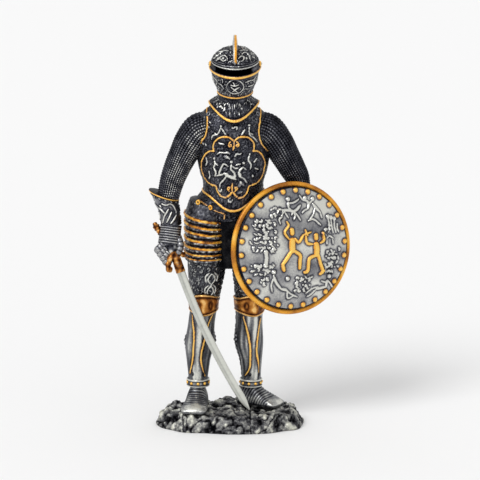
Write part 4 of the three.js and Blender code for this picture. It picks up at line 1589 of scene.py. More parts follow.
SLEEVES = (
    MailSleeve(
        name="right_sleeve",
        side=Side.RIGHT,
        stations=(
            (-4.6, 0.3, 82.0, 3.9, 4.3), (-8.2, 0.3, 80.9, 4.5, 4.9), (-10.9, 0.3, 77.6, 4.3, 4.6),
            (-12.8, 0.2, 74.2, 3.8, 4.2), (-14.4, 0.0, 70.8, 3.5, 3.9), (-15.8, -0.4, 67.2, 3.2, 3.5),
            (-17.0, -1.6, 62.5, 2.8, 3.0),
        ),
    ),
    MailSleeve(
        name="left_sleeve",
        side=Side.LEFT,
        # Painted shade: this sleeve's rings are painted darker.
        brightness=0.6,
        stations=(
            (5.8, 0.3, 82.0, 3.9, 4.3), (9.5, 0.3, 80.8, 4.5, 4.9), (12.4, 0.4, 77.5, 4.2, 4.6),
            (14.5, 0.9, 73.8, 3.8, 4.2), (16.4, 1.7, 70.2, 3.5, 3.9), (18.0, 2.6, 66.8, 3.1, 3.5),
            (18.7, 2.6, 62.0, 2.8, 2.9),
        ),
    ),
)


@dataclass(frozen=True)
class Gauntlet(Casting):
    """A gauntlet: a flared cuff, lames over the back of the hand, and a gloved fist."""

    finish: AntiquePewter = GAUNTLET
    side: Side = Side.RIGHT
    cuff: tuple[Level, ...] = ()
    wrist: tuple[float, ...] = ()
    knuckles: tuple[float, ...] = ()
    lame_pitch: float = 0.68
    palm: tuple[tuple[float, ...], ...] = ()
    thumb: tuple[Point3, ...] = ()
    finger_root: Point3 | None = None
    ornament: tuple[tuple[Point2, ...], ...] = ()
    chart_radius: float = 3.2

    def cuff_skin(self) -> Skin:
        """The embossed cuff with its gold lip.

        Returns:
            The skin.
        """
        skin, z, azimuth = Upright(self.cuff).skin(0.15, 150)
        low, high = self.cuff[0].z, self.cuff[-2].z
        chart = azimuth * self.chart_radius
        shadow = smoothstep(0.2, 1.2, -self.side.value * azimuth)
        skin.shade(0.52 + 0.1 * waves(skin.grid, 3.0, 22) - 0.3 * shadow)
        front = np.abs(azimuth) < math.pi / 2
        scrolls = Carving(curls(21 + self.side.value, (-11, 11), (low + 0.6, high - 0.9), 1.3, 0.17, 0.2))
        skin.carve(scrolls, chart, z, ~front if self.ornament else None)
        skin.engrave(Carving().add(*self.ornament, width=0.25, height=0.3, tone=0.85), front)
        studs = [[(u, high - 0.85)] for u in np.arange(-10.0, 10.0, 1.45)]
        skin.carve(Carving().add(*studs, width=0.3, height=0.26, tone=0.95), chart, z)
        lip = Carving()
        lip.add(hoop(high - 0.25), width=0.22, height=0.22, paint=Paint.GOLD, ends=1.0, smooth=False)
        return skin.carve(lip, chart, z)

    def plates(self) -> Skin:
        """The back of the hand, with a stack of narrow lames across it.

        Returns:
            The skin.
        """
        start, end = np.array(self.wrist), np.array(self.knuckles)
        stations = [start + [0, 0, 0.14, 0.1, 0.1]]
        stations += [start + (end - start) * share for share in (0.2, 0.5, 0.8, 1.0)]
        skin, along, angle = limb_skin(stations, 0.13, 120)
        wave = 0.5 + 0.5 * np.cos(along * TAU / self.lame_pitch)
        over = smoothstep(1.35, 1.15, np.abs(angle)) * smoothstep(0.1, 0.3, along)
        skin.lift(0.2 * (wave**0.6 - 0.4) * over)
        side = 0.34 + 0.12 * waves(skin.grid, 1.0, 33)
        return skin.shade(np.clip(side * (1 - over) + over * (0.08 + 0.66 * wave**1.3), 0, 1))

    def fingers(self) -> list[Skin]:
        """Four plated fingers closed round the grip.

        Returns:
            The closed skins.
        """
        if self.finger_root is None:
            return []
        made = []
        stack, out = np.array([0.55, 0, -0.83]), np.array([-1.7, -0.2, -1.9])
        under = np.array([1.2, 2.6, -0.6])
        radii = [0.8, 0.95, 0.88, 0.66]
        for i in range(4):
            base = np.array(self.finger_root) + stack * i * 1.32
            bend = base + out
            skin, along, _ = bar_skin([base, bend, bend + under / 2, bend + under], radii, 0.14, 26)
            joint = np.abs(((along / 0.95) % 1) - 0.5) * 2
            skin.lift(0.1 * (1 - joint**3)).shade(np.clip(0.62 - 0.6 * joint**4, 0, 1))
            made.append(skin)
        return made

    def skins(self) -> list[Skin]:
        """The cuff, the hand and the thumb.

        Returns:
            The closed skins.
        """
        hand, _, _ = limb_skin(self.palm, 0.2, 60)
        hand.shade(0.3 + 0.2 * waves(hand.grid, 1.4, 5))
        thumb, along, _ = bar_skin(self.thumb, [0.9, 0.95, 0.7], 0.15, 26)
        joint = np.abs(((along / 1.2) % 1) - 0.5) * 2
        thumb.lift(0.08 * (1 - joint**3)).shade(np.clip(0.6 - 0.55 * joint**4, 0, 1))
        return [self.cuff_skin(), self.plates(), hand, *self.fingers(), thumb]


GAUNTLETS = (
    Gauntlet(
        name="right_gauntlet",
        side=Side.RIGHT,
        cuff=(
            Level(55.9, 2.7, 2.5, 2.5, x=-16.1, y=-4.4),
            Level(58.8, 2.9, 3.0, 3.0, x=-16.6, y=-3.3, tilt=0.1),
            Level(61.4, 3.4, 3.6, 3.6, x=-17.4, y=-2.0, tilt=0.25),
            Level(62.8, 3.7, 3.9, 3.9, x=-17.9, y=-1.4, tilt=0.32),
            Level(63.5, 4.0, 4.2, 4.1, x=-18.1, y=-1.2, tilt=0.34),
            Level(63.6, 3.3, 3.5, 3.4, x=-18.1, y=-1.2, tilt=0.34),
        ),
        wrist=(-16.1, -4.5, 55.6, 2.8, 2.3),
        knuckles=(-16.7, -5.7, 50.6, 3.0, 2.0),
        palm=((-16.7, -5.4, 51.4, 2.8, 2.0), (-16.6, -5.4, 49.0, 2.6, 2.0), (-16.0, -5.3, 47.4, 1.6, 1.5)),
        thumb=((-14.4, -5.2, 53.2), (-13.6, -6.6, 50.4), (-14.3, -7.6, 48.2)),
        finger_root=(-18.0, -6.6, 51.2),
        ornament=(
            ((-20.4, 61.4), (-20.0, 60.8), (-19.5, 60.5)),
            ((-19.5, 60.5), (-18.7, 60.0), (-17.9, 59.3)),
            ((-19.2, 61.2), (-18.7, 60.7)),
            ((-18.7, 61.7), (-17.3, 61.3), (-16.3, 61.7), (-15.2, 60.4), (-14.8, 59.1)),
            ((-16.8, 60.4), (-17.3, 59.4), (-17.9, 58.4), (-18.3, 56.6)),
            ((-16.0, 59.6), (-16.6, 58.1), (-17.3, 56.8)),
            ((-14.8, 58.6), (-15.5, 57.3), (-16.3, 56.5)),
            ((-19.2, 59.2), (-18.9, 58.2), (-19.0, 57.2)),
        ),
    ),
    Gauntlet(
        name="left_gauntlet",
        side=Side.LEFT,
        cuff=(
            Level(52.3, 2.7, 2.4, 2.4, x=15.5, y=-2.3),
            Level(57.2, 2.8, 2.9, 3.0, x=17.2, y=0.2),
            Level(60.8, 3.3, 3.4, 3.5, x=18.2, y=2.0, tilt=-0.1),
            Level(62.5, 3.6, 3.7, 3.8, x=18.6, y=2.7, tilt=-0.1),
            Level(63.3, 3.9, 3.9, 4.1, x=18.7, y=3.0, tilt=-0.1),
            Level(63.4, 3.2, 3.2, 3.4, x=18.7, y=3.1, tilt=-0.1),
        ),
        wrist=(15.5, -2.5, 52.5, 2.7, 2.2),
        knuckles=(14.9, -3.3, 48.2, 2.8, 2.0),
        palm=((14.9, -3.2, 49.0, 2.6, 2.0), (14.8, -3.4, 46.6, 2.5, 2.1), (14.7, -3.4, 45.2, 1.5, 1.4)),
        thumb=((13.2, -3.0, 50.2), (12.5, -4.6, 48.0), (13.2, -5.4, 46.4)),
    ),
)


@dataclass(frozen=True)
class HipPlates(Casting):
    """The fauld round the hips and the two tassets of seven gold-edged lames."""

    name: str = "hip_plates"
    lame_edges: tuple[float, ...] = (46.6, 47.75, 49.5, 51.5, 53.45, 55.25, 57.2)
    edge_phase: float = 0.82
    tasset_top: float = 61.4
    wrap_front: float = 42.0
    wrap_back: float = -150.0

    def hips(self) -> Skin:
        """The plates round the hips, and the black breeches under them.

        Returns:
            The skin.
        """
        levels = (
            Level(43.6, 9.6, 5.0, 5.8, x=-0.3),
            Level(46.0, 10.4, 5.6, 6.6, x=-0.3),
            Level(52.0, 11.0, 6.2, 7.4, x=-0.3),
            Level(58.0, 10.9, 7.0, 7.3, x=-0.2),
            Level(61.5, 9.8, 7.9, 6.4, x=0.1),
            Level(65.0, 7.7, 7.9, 5.2, x=0.5),
        )
        skin, z, azimuth = Upright(levels).skin(0.25, 214)
        x = skin.grid[..., 0]
        front = np.abs(azimuth) < math.pi / 2
        skin.shade(0.33 + 0.1 * waves(skin.grid, 3.0, 42))
        chased = Carving(curls(41, (-28, 28), (57.5, 64), 1.05, 0.11, 0.1))
        chased.strokes = [replace(s, tone=s.tone * 0.55) for s in chased.strokes]
        skin.carve(chased, azimuth * 9, z)
        gold = {"height": 0.28, "paint": Paint.GOLD, "ends": 1.0}
        lines = Carving()
        lines.add([(-8.5, 62.2), (-7.5, 61.8), (-6.2, 61.1), (-5.4, 60.9)], width=0.18, **gold)
        lines.add([(-4.4, 60.2), (-2.8, 59.7), (-1.7, 59.2), (-1.8, 57.9)], width=0.15, **gold)
        lines.add([(-5.5, 60.6), (-5.8, 59.9), (-6.2, 59.0)], width=0.34, height=0.3, tone=0.85)
        lines.add([(-3.1, 58.1)], width=0.26, height=0.26, tone=0.8)
        lines.add([(-9.6, 61.2), (-7.9, 60.7), (-6.5, 59.9)], width=0.1, height=0.12, tone=0.5)
        skin.engrave(lines, front)
        crotch = (z < 57) & (np.abs(x + 1.2) < 3.4) & front
        skin.paint(Paint.BLACK, crotch, 0.85)
        return skin

    def tasset(self, side: Side) -> Skin:
        """One stack of lames with a plain plate above it.

        Args:
            side: The hip that it hangs on.

        Returns:
            Its skin.
        """
        way = side.value
        arc = -np.radians(np.linspace(self.wrap_front, self.wrap_back, 140)) * way
        edges = np.array(self.lame_edges)
        foot, top = edges[0] - 0.75, edges[-1] + 0.45
        lamed, plain = np.linspace(foot - 0.15, top, 132), np.linspace(top + 0.2, self.tasset_top, 12)
        z = np.concatenate([[foot - 0.3], lamed, plain])
        numbers = np.arange(len(edges)) + self.edge_phase
        phase = np.interp(z, [foot, *edges, top], [0.3, *numbers, len(edges)])
        part = phase - np.floor(phase)
        inside = (z > foot - 0.2) & (z < top)
        gold = np.clip(1 - ((part - self.edge_phase) / 0.17) ** 2, 0, 1)
        body = smoothstep(0.18, 0.4, part) * (part < self.edge_phase)
        grow = np.where(inside, -0.15 + 0.55 * np.sqrt(gold) + 0.34 * body * (gold <= 0), -0.15)
        grow[0] = -1.2
        grow = np.where(z > top, -0.15 - 1.15 * (z - top) / (self.tasset_top - top), grow)
        form = Level(0.0, 5.7, 7.3, 7.2, x=way * 6.5 - 0.2, y=-0.5, round=2.2)
        face = oval({**form.column(len(z)), "z": z[:, None]}, arc[None], grow[:, None])
        share = np.linspace(0, 1, 32)[None, 1:-1, None]
        inner = face[:, -1:] + (face[:, :1] - face[:, -1:]) * share
        grid = np.concatenate([face, inner], 1)
        fall = np.interp(z, [47.5, 53.5, 57.5], [0.0, 0.09, 0.17])[:, None]
        grid[..., 2] -= fall * (7.0 - way * grid[..., 0])
        skin = Skin(grid)
        if way > 0:
            skin.grid = skin.grid[:, ::-1]
        skin = outward(skin)
        shape = skin.height.shape
        lame = np.broadcast_to(inside[:, None], shape)
        gold_edge = np.broadcast_to(((gold > 0.05) & inside)[:, None], shape)
        x, y = skin.grid[..., 0], skin.grid[..., 1]
        chart = np.arctan2(x - form.x, form.y - y) * 6.4
        rough = waves(np.stack([chart * 1.6, skin.grid[..., 2] * 1.2], -1), 1.5, 52 + way)
        # The groove at the foot of each lame, above the gold lip of the next, is near black: black wash and
        # painted shade.
        groove = np.broadcast_to((smoothstep(0.46, 0.22, part) + smoothstep(0.98, 1.0, part))[:, None], shape)
        lame_tone = np.clip(0.42 + 0.2 * rough, 0, 1) * (1 - 0.97 * np.clip(groove, 0, 1))
        skin.shade(np.where(lame, lame_tone, 0.30 + 0.08 * rough))
        skin.lift(0.04 * rough)
        worn = np.clip(0.68 + 0.2 * waves(np.stack([chart, skin.grid[..., 2]], -1), 2.2, 53), 0.1, 1)
        skin.shade(worn, gold_edge)
        skin.paint(Paint.GOLD, gold_edge)
        return skin

    def rivets(self) -> list[Skin]:
        """The rivets at the front ends of the right tasset's lames.

        Returns:
            The closed skins.
        """
        made = []
        for i, z in enumerate(self.lame_edges[1:]):
            out = np.array([0.35, -1, 0.1])
            made.append(dome(np.array([-4.1 + 0.1 * i, -7.1, z - 0.75]), out, 0.26, 0.26, tone=0.75))
        return made

    def skins(self) -> list[Skin]:
        """The hips, both tassets, the rivets and the two gold buckles.

        Returns:
            The closed skins.
        """
        hips = self.hips()
        on_tasset = np.array([-8.8, -5.75, 62.2]), np.array([-0.7, -1.0, 0.15])
        made = [hips, self.tasset(Side.RIGHT), self.tasset(Side.LEFT), *self.rivets()]
        for seat in (on_tasset, hips.seat(-5.4, 60.9)):
            made += buckle(*seat, 0.72, Paint.GOLD)
        return made


@dataclass(frozen=True)
class Leg(Casting):
    """A leg: chased thigh plate, bronzed knee cop, ridged greave with its gold stripes, and boot."""

    finish: AntiquePewter = GREAVE
    side: Side = Side.RIGHT
    thigh: tuple[Level, ...] = ()
    shin: tuple[Level, ...] = ()
    knee: Point3 = (0.0, 0.0, 0.0)
    knee_face: float = 0.0
    stripes: tuple[tuple[Point2, ...], ...] = ()
    heel: tuple[float, float] = (0.0, 0.0)
    heading: float = 0.0
    sole: float = 5.0
    length: float = 1.0
    seed: int = 61

    def thigh_skin(self) -> Skin:
        """The thigh, all over small chased leaves.

        Returns:
            The skin.
        """
        skin, z, azimuth = Upright(self.thigh).skin(0.22, 170)
        chart = (azimuth + 0.3 * self.side.value) * 4.9
        low, high = self.thigh[0].z, self.thigh[-1].z
        carving = Carving(curls(self.seed, (-18, 18), (low, high), 1.25, 0.17, 0.2))
        carving.strokes = [replace(s, tone=s.tone * 0.8) for s in carving.strokes]
        for v in (37.4, 40.9):
            carving.add(
                [(0.0, v - 1.4), (-1.0, v), (0.0, v + 1.6), (1.0, v), (0.0, v - 1.4)],
                [(-1.5, v - 0.6), (-1.7, v + 0.9), (-0.7, v + 1.9)],
                [(1.5, v - 0.6), (1.7, v + 0.9), (0.7, v + 1.9)],
                width=0.2,
                height=0.26,
            )
        return skin.carve(carving, chart, z)

    def shin_levels(self) -> tuple[Level, ...]:
        """The greave from below the ankle band up into the knee.

        Returns:
            The levels.
        """
        ankle = self.shin[0]
        grown = {"side": ankle.side + 0.4, "front": ankle.front + 0.4, "back": ankle.back + 0.4}
        return (
            replace(ankle, z=ankle.z - 1.2),
            replace(ankle, z=ankle.z - 1.0, **grown),
            replace(ankle, z=ankle.z + 0.9, **grown),
            replace(ankle, z=ankle.z + 1.1, ridge=0.3),
            *(replace(level, ridge=0.45, face=ankle.face) for level in self.shin[1:]),
        )

    def shin_skin(self) -> Skin:
        """The greave with its shin ridge, gold stripes and ankle band.

        Returns:
            The skin.
        """
        skin, z, azimuth = Upright(self.shin_levels()).skin(0.22, 154)
        ankle = self.shin[0].z
        front = np.cos(azimuth) > 0
        chart = azimuth * 3.6
        streaks = waves(np.stack([chart, z * 0.12], -1), 1.5, self.seed + 3)
        # Painted highlight along the shin ridge and on the facet to its -X side; the greave also darkens
        # towards its sides.
        ridge = np.exp(-((azimuth / 0.16) ** 2)) + 0.5 * np.exp(-(((azimuth + 0.45) / 0.3) ** 2))
        side = smoothstep(1.2, 1.7, np.abs(azimuth))
        skin.shade(np.clip(0.36 + 0.13 * streaks + 0.45 * ridge - 0.2 * side, 0.02, 1))
        skin.height += 0.05 * streaks * (z > ankle + 1.3)
        seam = np.exp(-(((np.abs(azimuth) - 1.72) / 0.05) ** 2)) * (z > ankle + 1.3)
        skin.lift(-0.18 * seam).shade(skin.coats["relief"] * (1 - 0.9 * seam))
        gold = Carving()
        gold.add(*self.stripes, width=0.26, height=0.24, paint=Paint.GOLD, ends=0.5)
        skin.engrave(gold, front)
        back = Carving(curls(self.seed + 5, (-12, 12), (ankle + 2, self.shin[-1].z), 1.4, 0.15, 0.14))
        skin.carve(back, chart, z, np.abs(azimuth) > 1.95)
        band = np.abs(z - ankle) < 1.0
        rims = Carving()
        for v in (ankle - 0.85, ankle + 0.8):
            rims.add(hoop(v), width=0.2, height=0.14, ends=1.0, smooth=False, tone=0.9)
        skin.carve(rims, chart, z, band)
        return skin

    def knee_skin(self) -> Skin:
        """The bronzed knee cop, with a gabled rim, a ridge and two dished rosettes.

        Returns:
            The skin.
        """
        x, y, z = self.knee
        base = Level(z, 4.2, 5.3, 3.4, x=x, y=y, round=2.2, face=self.knee_face, ridge=0.8, vee=2.5)
        levels = (
            replace(base, z=z - 1.75, side=3.4, front=4.2, ridge=0.3, dip=0.9),
            replace(base, z=z - 1.6, side=3.7, front=4.7, ridge=0.4, dip=0.9),
            replace(base, z=z - 0.8, side=4.0, dip=0.7),
            replace(base, z=z + 1.5, dip=-1.2),
            replace(base, z=z + 2.2, side=4.1, front=5.2, ridge=0.6, dip=-1.4),
            replace(base, z=z + 2.3, side=3.3, front=4.2, ridge=0.2, dip=-1.4),
        )
        skin, level, azimuth = Upright(levels).skin(0.155, 180)
        chart = azimuth * 4.5
        # Painted highlight along the front ridge of the knee cop.
        skin.shade(0.55 + 0.3 * np.exp(-((azimuth / 0.12) ** 2)) + 0.12 * waves(skin.grid, 2.0, 8))
        for way in (-1, 1):
            away = np.hypot(chart - way * 2.2, level - z - 0.25)
            skin.lift(-0.3 * np.exp(-((away / 0.75) ** 2)) + 0.28 * np.exp(-((away / 0.26) ** 2)))
            skin.shade(skin.coats["relief"] * (1 - 0.7 * np.exp(-(((away - 0.55) / 0.28) ** 2))))
        rims = Carving()
        for v in (z - 1.35, z + 1.95):
            rims.add(hoop(v), width=0.26, height=0.22, ends=1.0, smooth=False)
        skin.carve(rims, chart, level)
        return skin.paint(Paint.BRONZE, np.ones(skin.height.shape, bool))

    def boot_skin(self) -> Skin:
        """The broad-toed boot, ribbed across like a row of narrow lames.

        Returns:
            The skin.
        """
        table = np.array(
            [
                (-0.1, 1.5, 3.3), (0.1, 2.0, 4.4), (0.9, 2.5, 5.4), (2.9, 2.8, 6.5), (5.2, 2.9, 6.1),
                (7.4, 3.1, 4.3),
                (10.2, 3.5, 2.85), (12.4, 3.4, 1.7), (13.1, 2.9, 1.1), (13.3, 2.4, 0.8),
            ]
        )
        along = chord(table)
        wanted = np.linspace(0, along[-1], 108)
        s, wide, tall = (monotone(along, column, wanted)[:, None] for column in table.T)
        arc = np.linspace(0, math.pi, 76)[None]
        floor = np.linspace(-1, 1, 20)[None, 1:-1]
        u = np.concatenate([wide * np.cos(arc), wide * floor], 1)
        h = np.concatenate([0.5 + (tall - 0.5) * np.sin(arc) ** 0.85, 0 * wide * floor], 1)
        ahead = np.array([math.sin(self.heading), -math.cos(self.heading), 0])
        across = np.array([math.cos(self.heading), math.sin(self.heading), 0])
        grid = (
            np.array([*self.heel, self.sole])
            + ahead * (s * self.length)[..., None]
            + across * u[..., None]
            + np.array([0, 0, 1.0]) * h[..., None]
        )
        skin = outward(Skin(grid))
        reach = (skin.grid - [*self.heel, self.sole]) @ ahead / self.length
        spread = (skin.grid - [*self.heel, self.sole]) @ across
        rise = skin.grid[..., 2] - self.sole
        bend = reach + 0.11 * spread**2 - 0.35 * rise
        rib = 0.5 + 0.5 * np.sin(bend * TAU / 0.92)
        top = smoothstep(0.3, 0.9, rise) * smoothstep(11.6, 10.4, reach)
        skin.lift(0.16 * (rib - 0.5) * top)
        skin.shade(np.clip(0.1 + 0.52 * rib * top + 0.34 * (1 - top) + 0.09 * waves(grid, 2.5, 4), 0, 1))
        # Painted highlight on the toe cap.
        toe = smoothstep(10.6, 11.4, reach) * smoothstep(0.2, 0.5, rise)
        skin.shade(skin.coats["relief"] + 0.25 * toe)
        # Darker in a narrow band just above the sole.
        sole_band = smoothstep(0.75, 0.5, rise) * smoothstep(0.0, 0.3, rise)
        return skin.shade(np.clip(skin.coats["relief"] - 0.25 * sole_band, 0, 1))

    def rivets(self) -> list[Skin]:
        """Rivets round the ankle band and over it.

        Returns:
            The closed skins.
        """
        ankle = self.shin[0].z
        form = Upright(self.shin_levels())
        gold = {"radius": 0.42, "height": 0.4, "paint": Paint.GOLD}
        dark = {"radius": 0.5, "height": 0.32, "tone": 0.12}
        places = [(turn, ankle, gold) for turn in np.linspace(-1.9, 1.9, 7)]
        places += [(turn, ankle + 2.6, dark) for turn in (-0.55, 0.5)]
        made = []
        for turn, height, kind in places:
            fields_here = form.at_heights(np.array([height]))
            foot = oval(fields_here, np.array([[turn]]), -0.05)[0, 0]
            beyond = oval(fields_here, np.array([[turn]]), 1.0)[0, 0]
            made.append(dome(foot, beyond - foot, **kind))
        return made

    def hinges(self) -> list[Skin]:
        """The knobbed hinges down both sides of the calf.

        Returns:
            The closed skins.
        """
        made = []
        form = Upright(self.shin_levels())
        for turn in (-1.7, 1.7):
            centre = self.shin[2].z if len(self.shin) > 2 else self.shin[0].z
            heights = np.array([centre + 3.0, centre + 0.6, centre - 3.0])
            path = oval(form.at_heights(heights), np.array([[turn]]), -0.35)[:, 0]
            skin, along, _ = bar_skin(path, [0.35, 0.85, 0.35], 0.16, 28)
            knuckle = np.sin(along * TAU / 1.1)
            skin.lift(0.1 * knuckle).shade(np.clip(0.3 + 0.25 * knuckle, 0, 1))
            made.append(skin)
        return made

    def skins(self) -> list[Skin]:
        """Every part of the leg."""
        plates = [self.thigh_skin(), self.shin_skin(), self.knee_skin(), self.boot_skin()]
        return [*plates, *self.rivets(), *self.hinges()]


LEGS = (
    Leg(
        name="right_leg",
        side=Side.RIGHT,
        thigh=(
            Level(32.0, 3.7, 4.3, 4.0, x=-7.3, y=-0.8),
            Level(36.6, 4.1, 5.0, 4.9, x=-6.9, y=-0.7),
            Level(42.0, 4.9, 5.8, 5.8, x=-6.6, y=-0.6),
            Level(48.0, 5.3, 6.2, 6.3, x=-6.4, y=-0.5),
        ),
        shin=(
            Level(11.6, 2.6, 2.8, 2.7, x=-8.9, y=-1.8),
            Level(17.2, 3.1, 3.3, 3.7, x=-8.8, y=-1.2),
            Level(22.2, 3.9, 3.8, 4.7, x=-8.4, y=-0.7),
            Level(28.0, 3.6, 3.9, 4.2, x=-7.9, y=-0.7),
            Level(32.5, 3.6, 4.2, 3.9, x=-7.4, y=-0.8),
        ),
        knee=(-7.4, -0.9, 33.2),
        stripes=(
            ((-10.4, 30.6), (-10.3, 28.6), (-10.0, 24.6), (-10.3, 18.7), (-11.1, 14.2)),
            ((-5.0, 30.8), (-6.2, 28.0), (-7.1, 24.0), (-8.0, 20.0), (-8.1, 17.6), (-7.6, 15.4),
             (-7.1, 13.6)),
        ),
        heel=(-8.6, 1.0),
        heading=math.radians(-7),
        sole=5.0,
    ),
    Leg(
        name="left_leg",
        side=Side.LEFT,
        thigh=(
            Level(32.0, 3.7, 4.3, 4.0, x=4.9, y=-0.2, face=0.3),
            Level(36.6, 4.1, 5.0, 4.9, x=5.2, y=-0.1, face=0.3),
            Level(42.0, 4.9, 5.6, 5.8, x=5.4, y=-0.3, face=0.2),
            Level(48.0, 5.3, 6.2, 6.3, x=5.6, y=-0.5),
        ),
        shin=(
            Level(11.2, 2.5, 2.7, 2.7, x=5.4, y=-0.3, face=0.42),
            Level(17.2, 2.9, 3.2, 3.6, x=5.3, y=0.1),
            Level(22.6, 3.8, 3.7, 4.6, x=4.9, y=0.3),
            Level(28.0, 3.6, 3.9, 4.2, x=4.9, y=0.1),
            Level(32.5, 3.6, 4.2, 3.9, x=4.9, y=-0.2),
        ),
        knee=(4.9, -0.3, 32.9),
        knee_face=0.25,
        stripes=(
            ((3.3, 30.1), (4.6, 25.2), (5.2, 21.1), (5.2, 16.5), (4.8, 15.0), (3.9, 13.3)),
            ((7.9, 29.4), (7.3, 25.3), (6.9, 20.6), (7.3, 17.1), (7.5, 13.4)),
        ),
        heel=(2.3, 1.5),
        heading=math.radians(62),
        sole=5.3,
        length=0.93,
        seed=73,
    ),
)


@dataclass(frozen=True)
class CurvedSword(Casting):
    """The curved sword: pale satin blade, bronzed grip, knuckle bow and pommel."""

    name: str = "curved_sword"
    node: str = "sword"
    slot: str = "sword_metal"
    finish: AntiquePewter = STEEL
    grip_top: Point3 = (-20.1, -3.7, 55.0)
    grip_foot: Point3 = (-15.2, -6.5, 47.4)
    blade_top: Point3 = (-13.9, -6.9, 44.4)
    blade_tip: Point3 = (5.0, -8.2, 5.2)
    bow: tuple[Point3, ...] = (
        (-12.3, -6.2, 47.6), (-13.8, -6.6, 48.2), (-15.4, -7.0, 48.0),
        (-16.6, -7.3, 46.7), (-16.9, -7.4, 44.8), (-16.1, -7.4, 43.2),
    )
    sag: float = 1.3
    half_width: float = 1.15
    half_thickness: float = 0.36

    def blade(self) -> Skin:
        """The blade, a shallow hexagon with a soft ridge.

        Returns:
            The skin.
        """
        top, tip = np.array(self.blade_top), np.array(self.blade_tip)
        line = tip - top
        bow = np.array([line[2], 0, -line[0]])
        control = (top + tip) / 2 + bow / np.linalg.norm(bow) * self.sag * 2
        t = np.concatenate([np.linspace(0, 0.9, 150), np.linspace(0.9, 1, 40)[1:]])[:, None]
        path = (1 - t) ** 2 * top + 2 * t * (1 - t) * control + t**2 * tip
        tangent = 2 * (1 - t) * (control - top) + 2 * t * (tip - control)
        tangent /= np.linalg.norm(tangent, axis=1, keepdims=True)
        across = np.stack([-tangent[:, 2], 0 * tangent[:, 0], tangent[:, 0]], -1)
        across /= np.linalg.norm(across, axis=1, keepdims=True)
        taper = np.where(t < 0.9, 1.0, 1 - 0.88 * np.clip((t - 0.9) / 0.1, 0, 1) ** 1.6)
        wide = self.half_width * (1 - 0.08 * t) * taper
        thick = self.half_thickness * (1 - 0.2 * t) * taper
        angle = np.linspace(0, TAU, 40, endpoint=False)[None]
        u = wide * np.cos(angle)
        v = thick * np.sign(np.sin(angle)) * np.minimum(np.abs(np.sin(angle)) * 1.25, 1) ** 0.8
        grid = path[:, None] + across[:, None] * u[..., None] + np.array([0, 1.0, 0]) * v[..., None]
        skin = outward(Skin(grid))
        # Painted light: the blade brightens towards its upper edge, and it is darker along its ridge.
        side = np.cos(angle) + 0 * t
        ridge = np.exp(-(((side + 0.05) / 0.12) ** 2))
        skin.shade(0.62 + 0.22 * smoothstep(-0.3, 0.5, side) - 0.2 * ridge)
        return skin

    def bronzed(self, skin: Skin) -> Skin:
        """Paints a part of the hilt bronze."""
        skin.shade(np.clip(0.5 + 0.25 * waves(skin.grid, 1.3, 14), 0.05, 1))
        return skin.paint(Paint.BRONZE, np.ones(skin.height.shape, bool))

    def skins(self) -> list[Skin]:
        """The blade and the parts of the hilt.

        Returns:
            The closed skins.
        """
        top, foot = np.array(self.grip_top), np.array(self.grip_foot)
        grip, along, angle = bar_skin([top, foot, np.array(self.blade_top)], 0.74, 0.12, 36)
        grip.lift(0.07 * np.sin(along * TAU / 0.7 + angle))
        knob = [top + [-0.6, 0.3, 1.1], top, top + (foot - top) * 0.13]
        pommel, around, _ = bar_skin(knob, [0.55, 0.95, 0.9], 0.1, 36)
        pommel.lift(0.1 * np.sin(around * TAU / 0.9))
        bow, length, _ = bar_skin(self.bow, [0.7, 0.8, 0.85, 0.8, 0.8, 0.95], 0.12, 36)
        bow.lift(0.09 * np.sin(length * TAU / 1.5))
        collar, _, _ = limb_skin(((-15.0, -6.6, 47.6, 1.2, 0.9), (-13.5, -7.0, 43.2, 1.3, 0.75)), 0.14, 50)
        return [self.blade(), *(self.bronzed(part) for part in (grip, pommel, bow, collar))]


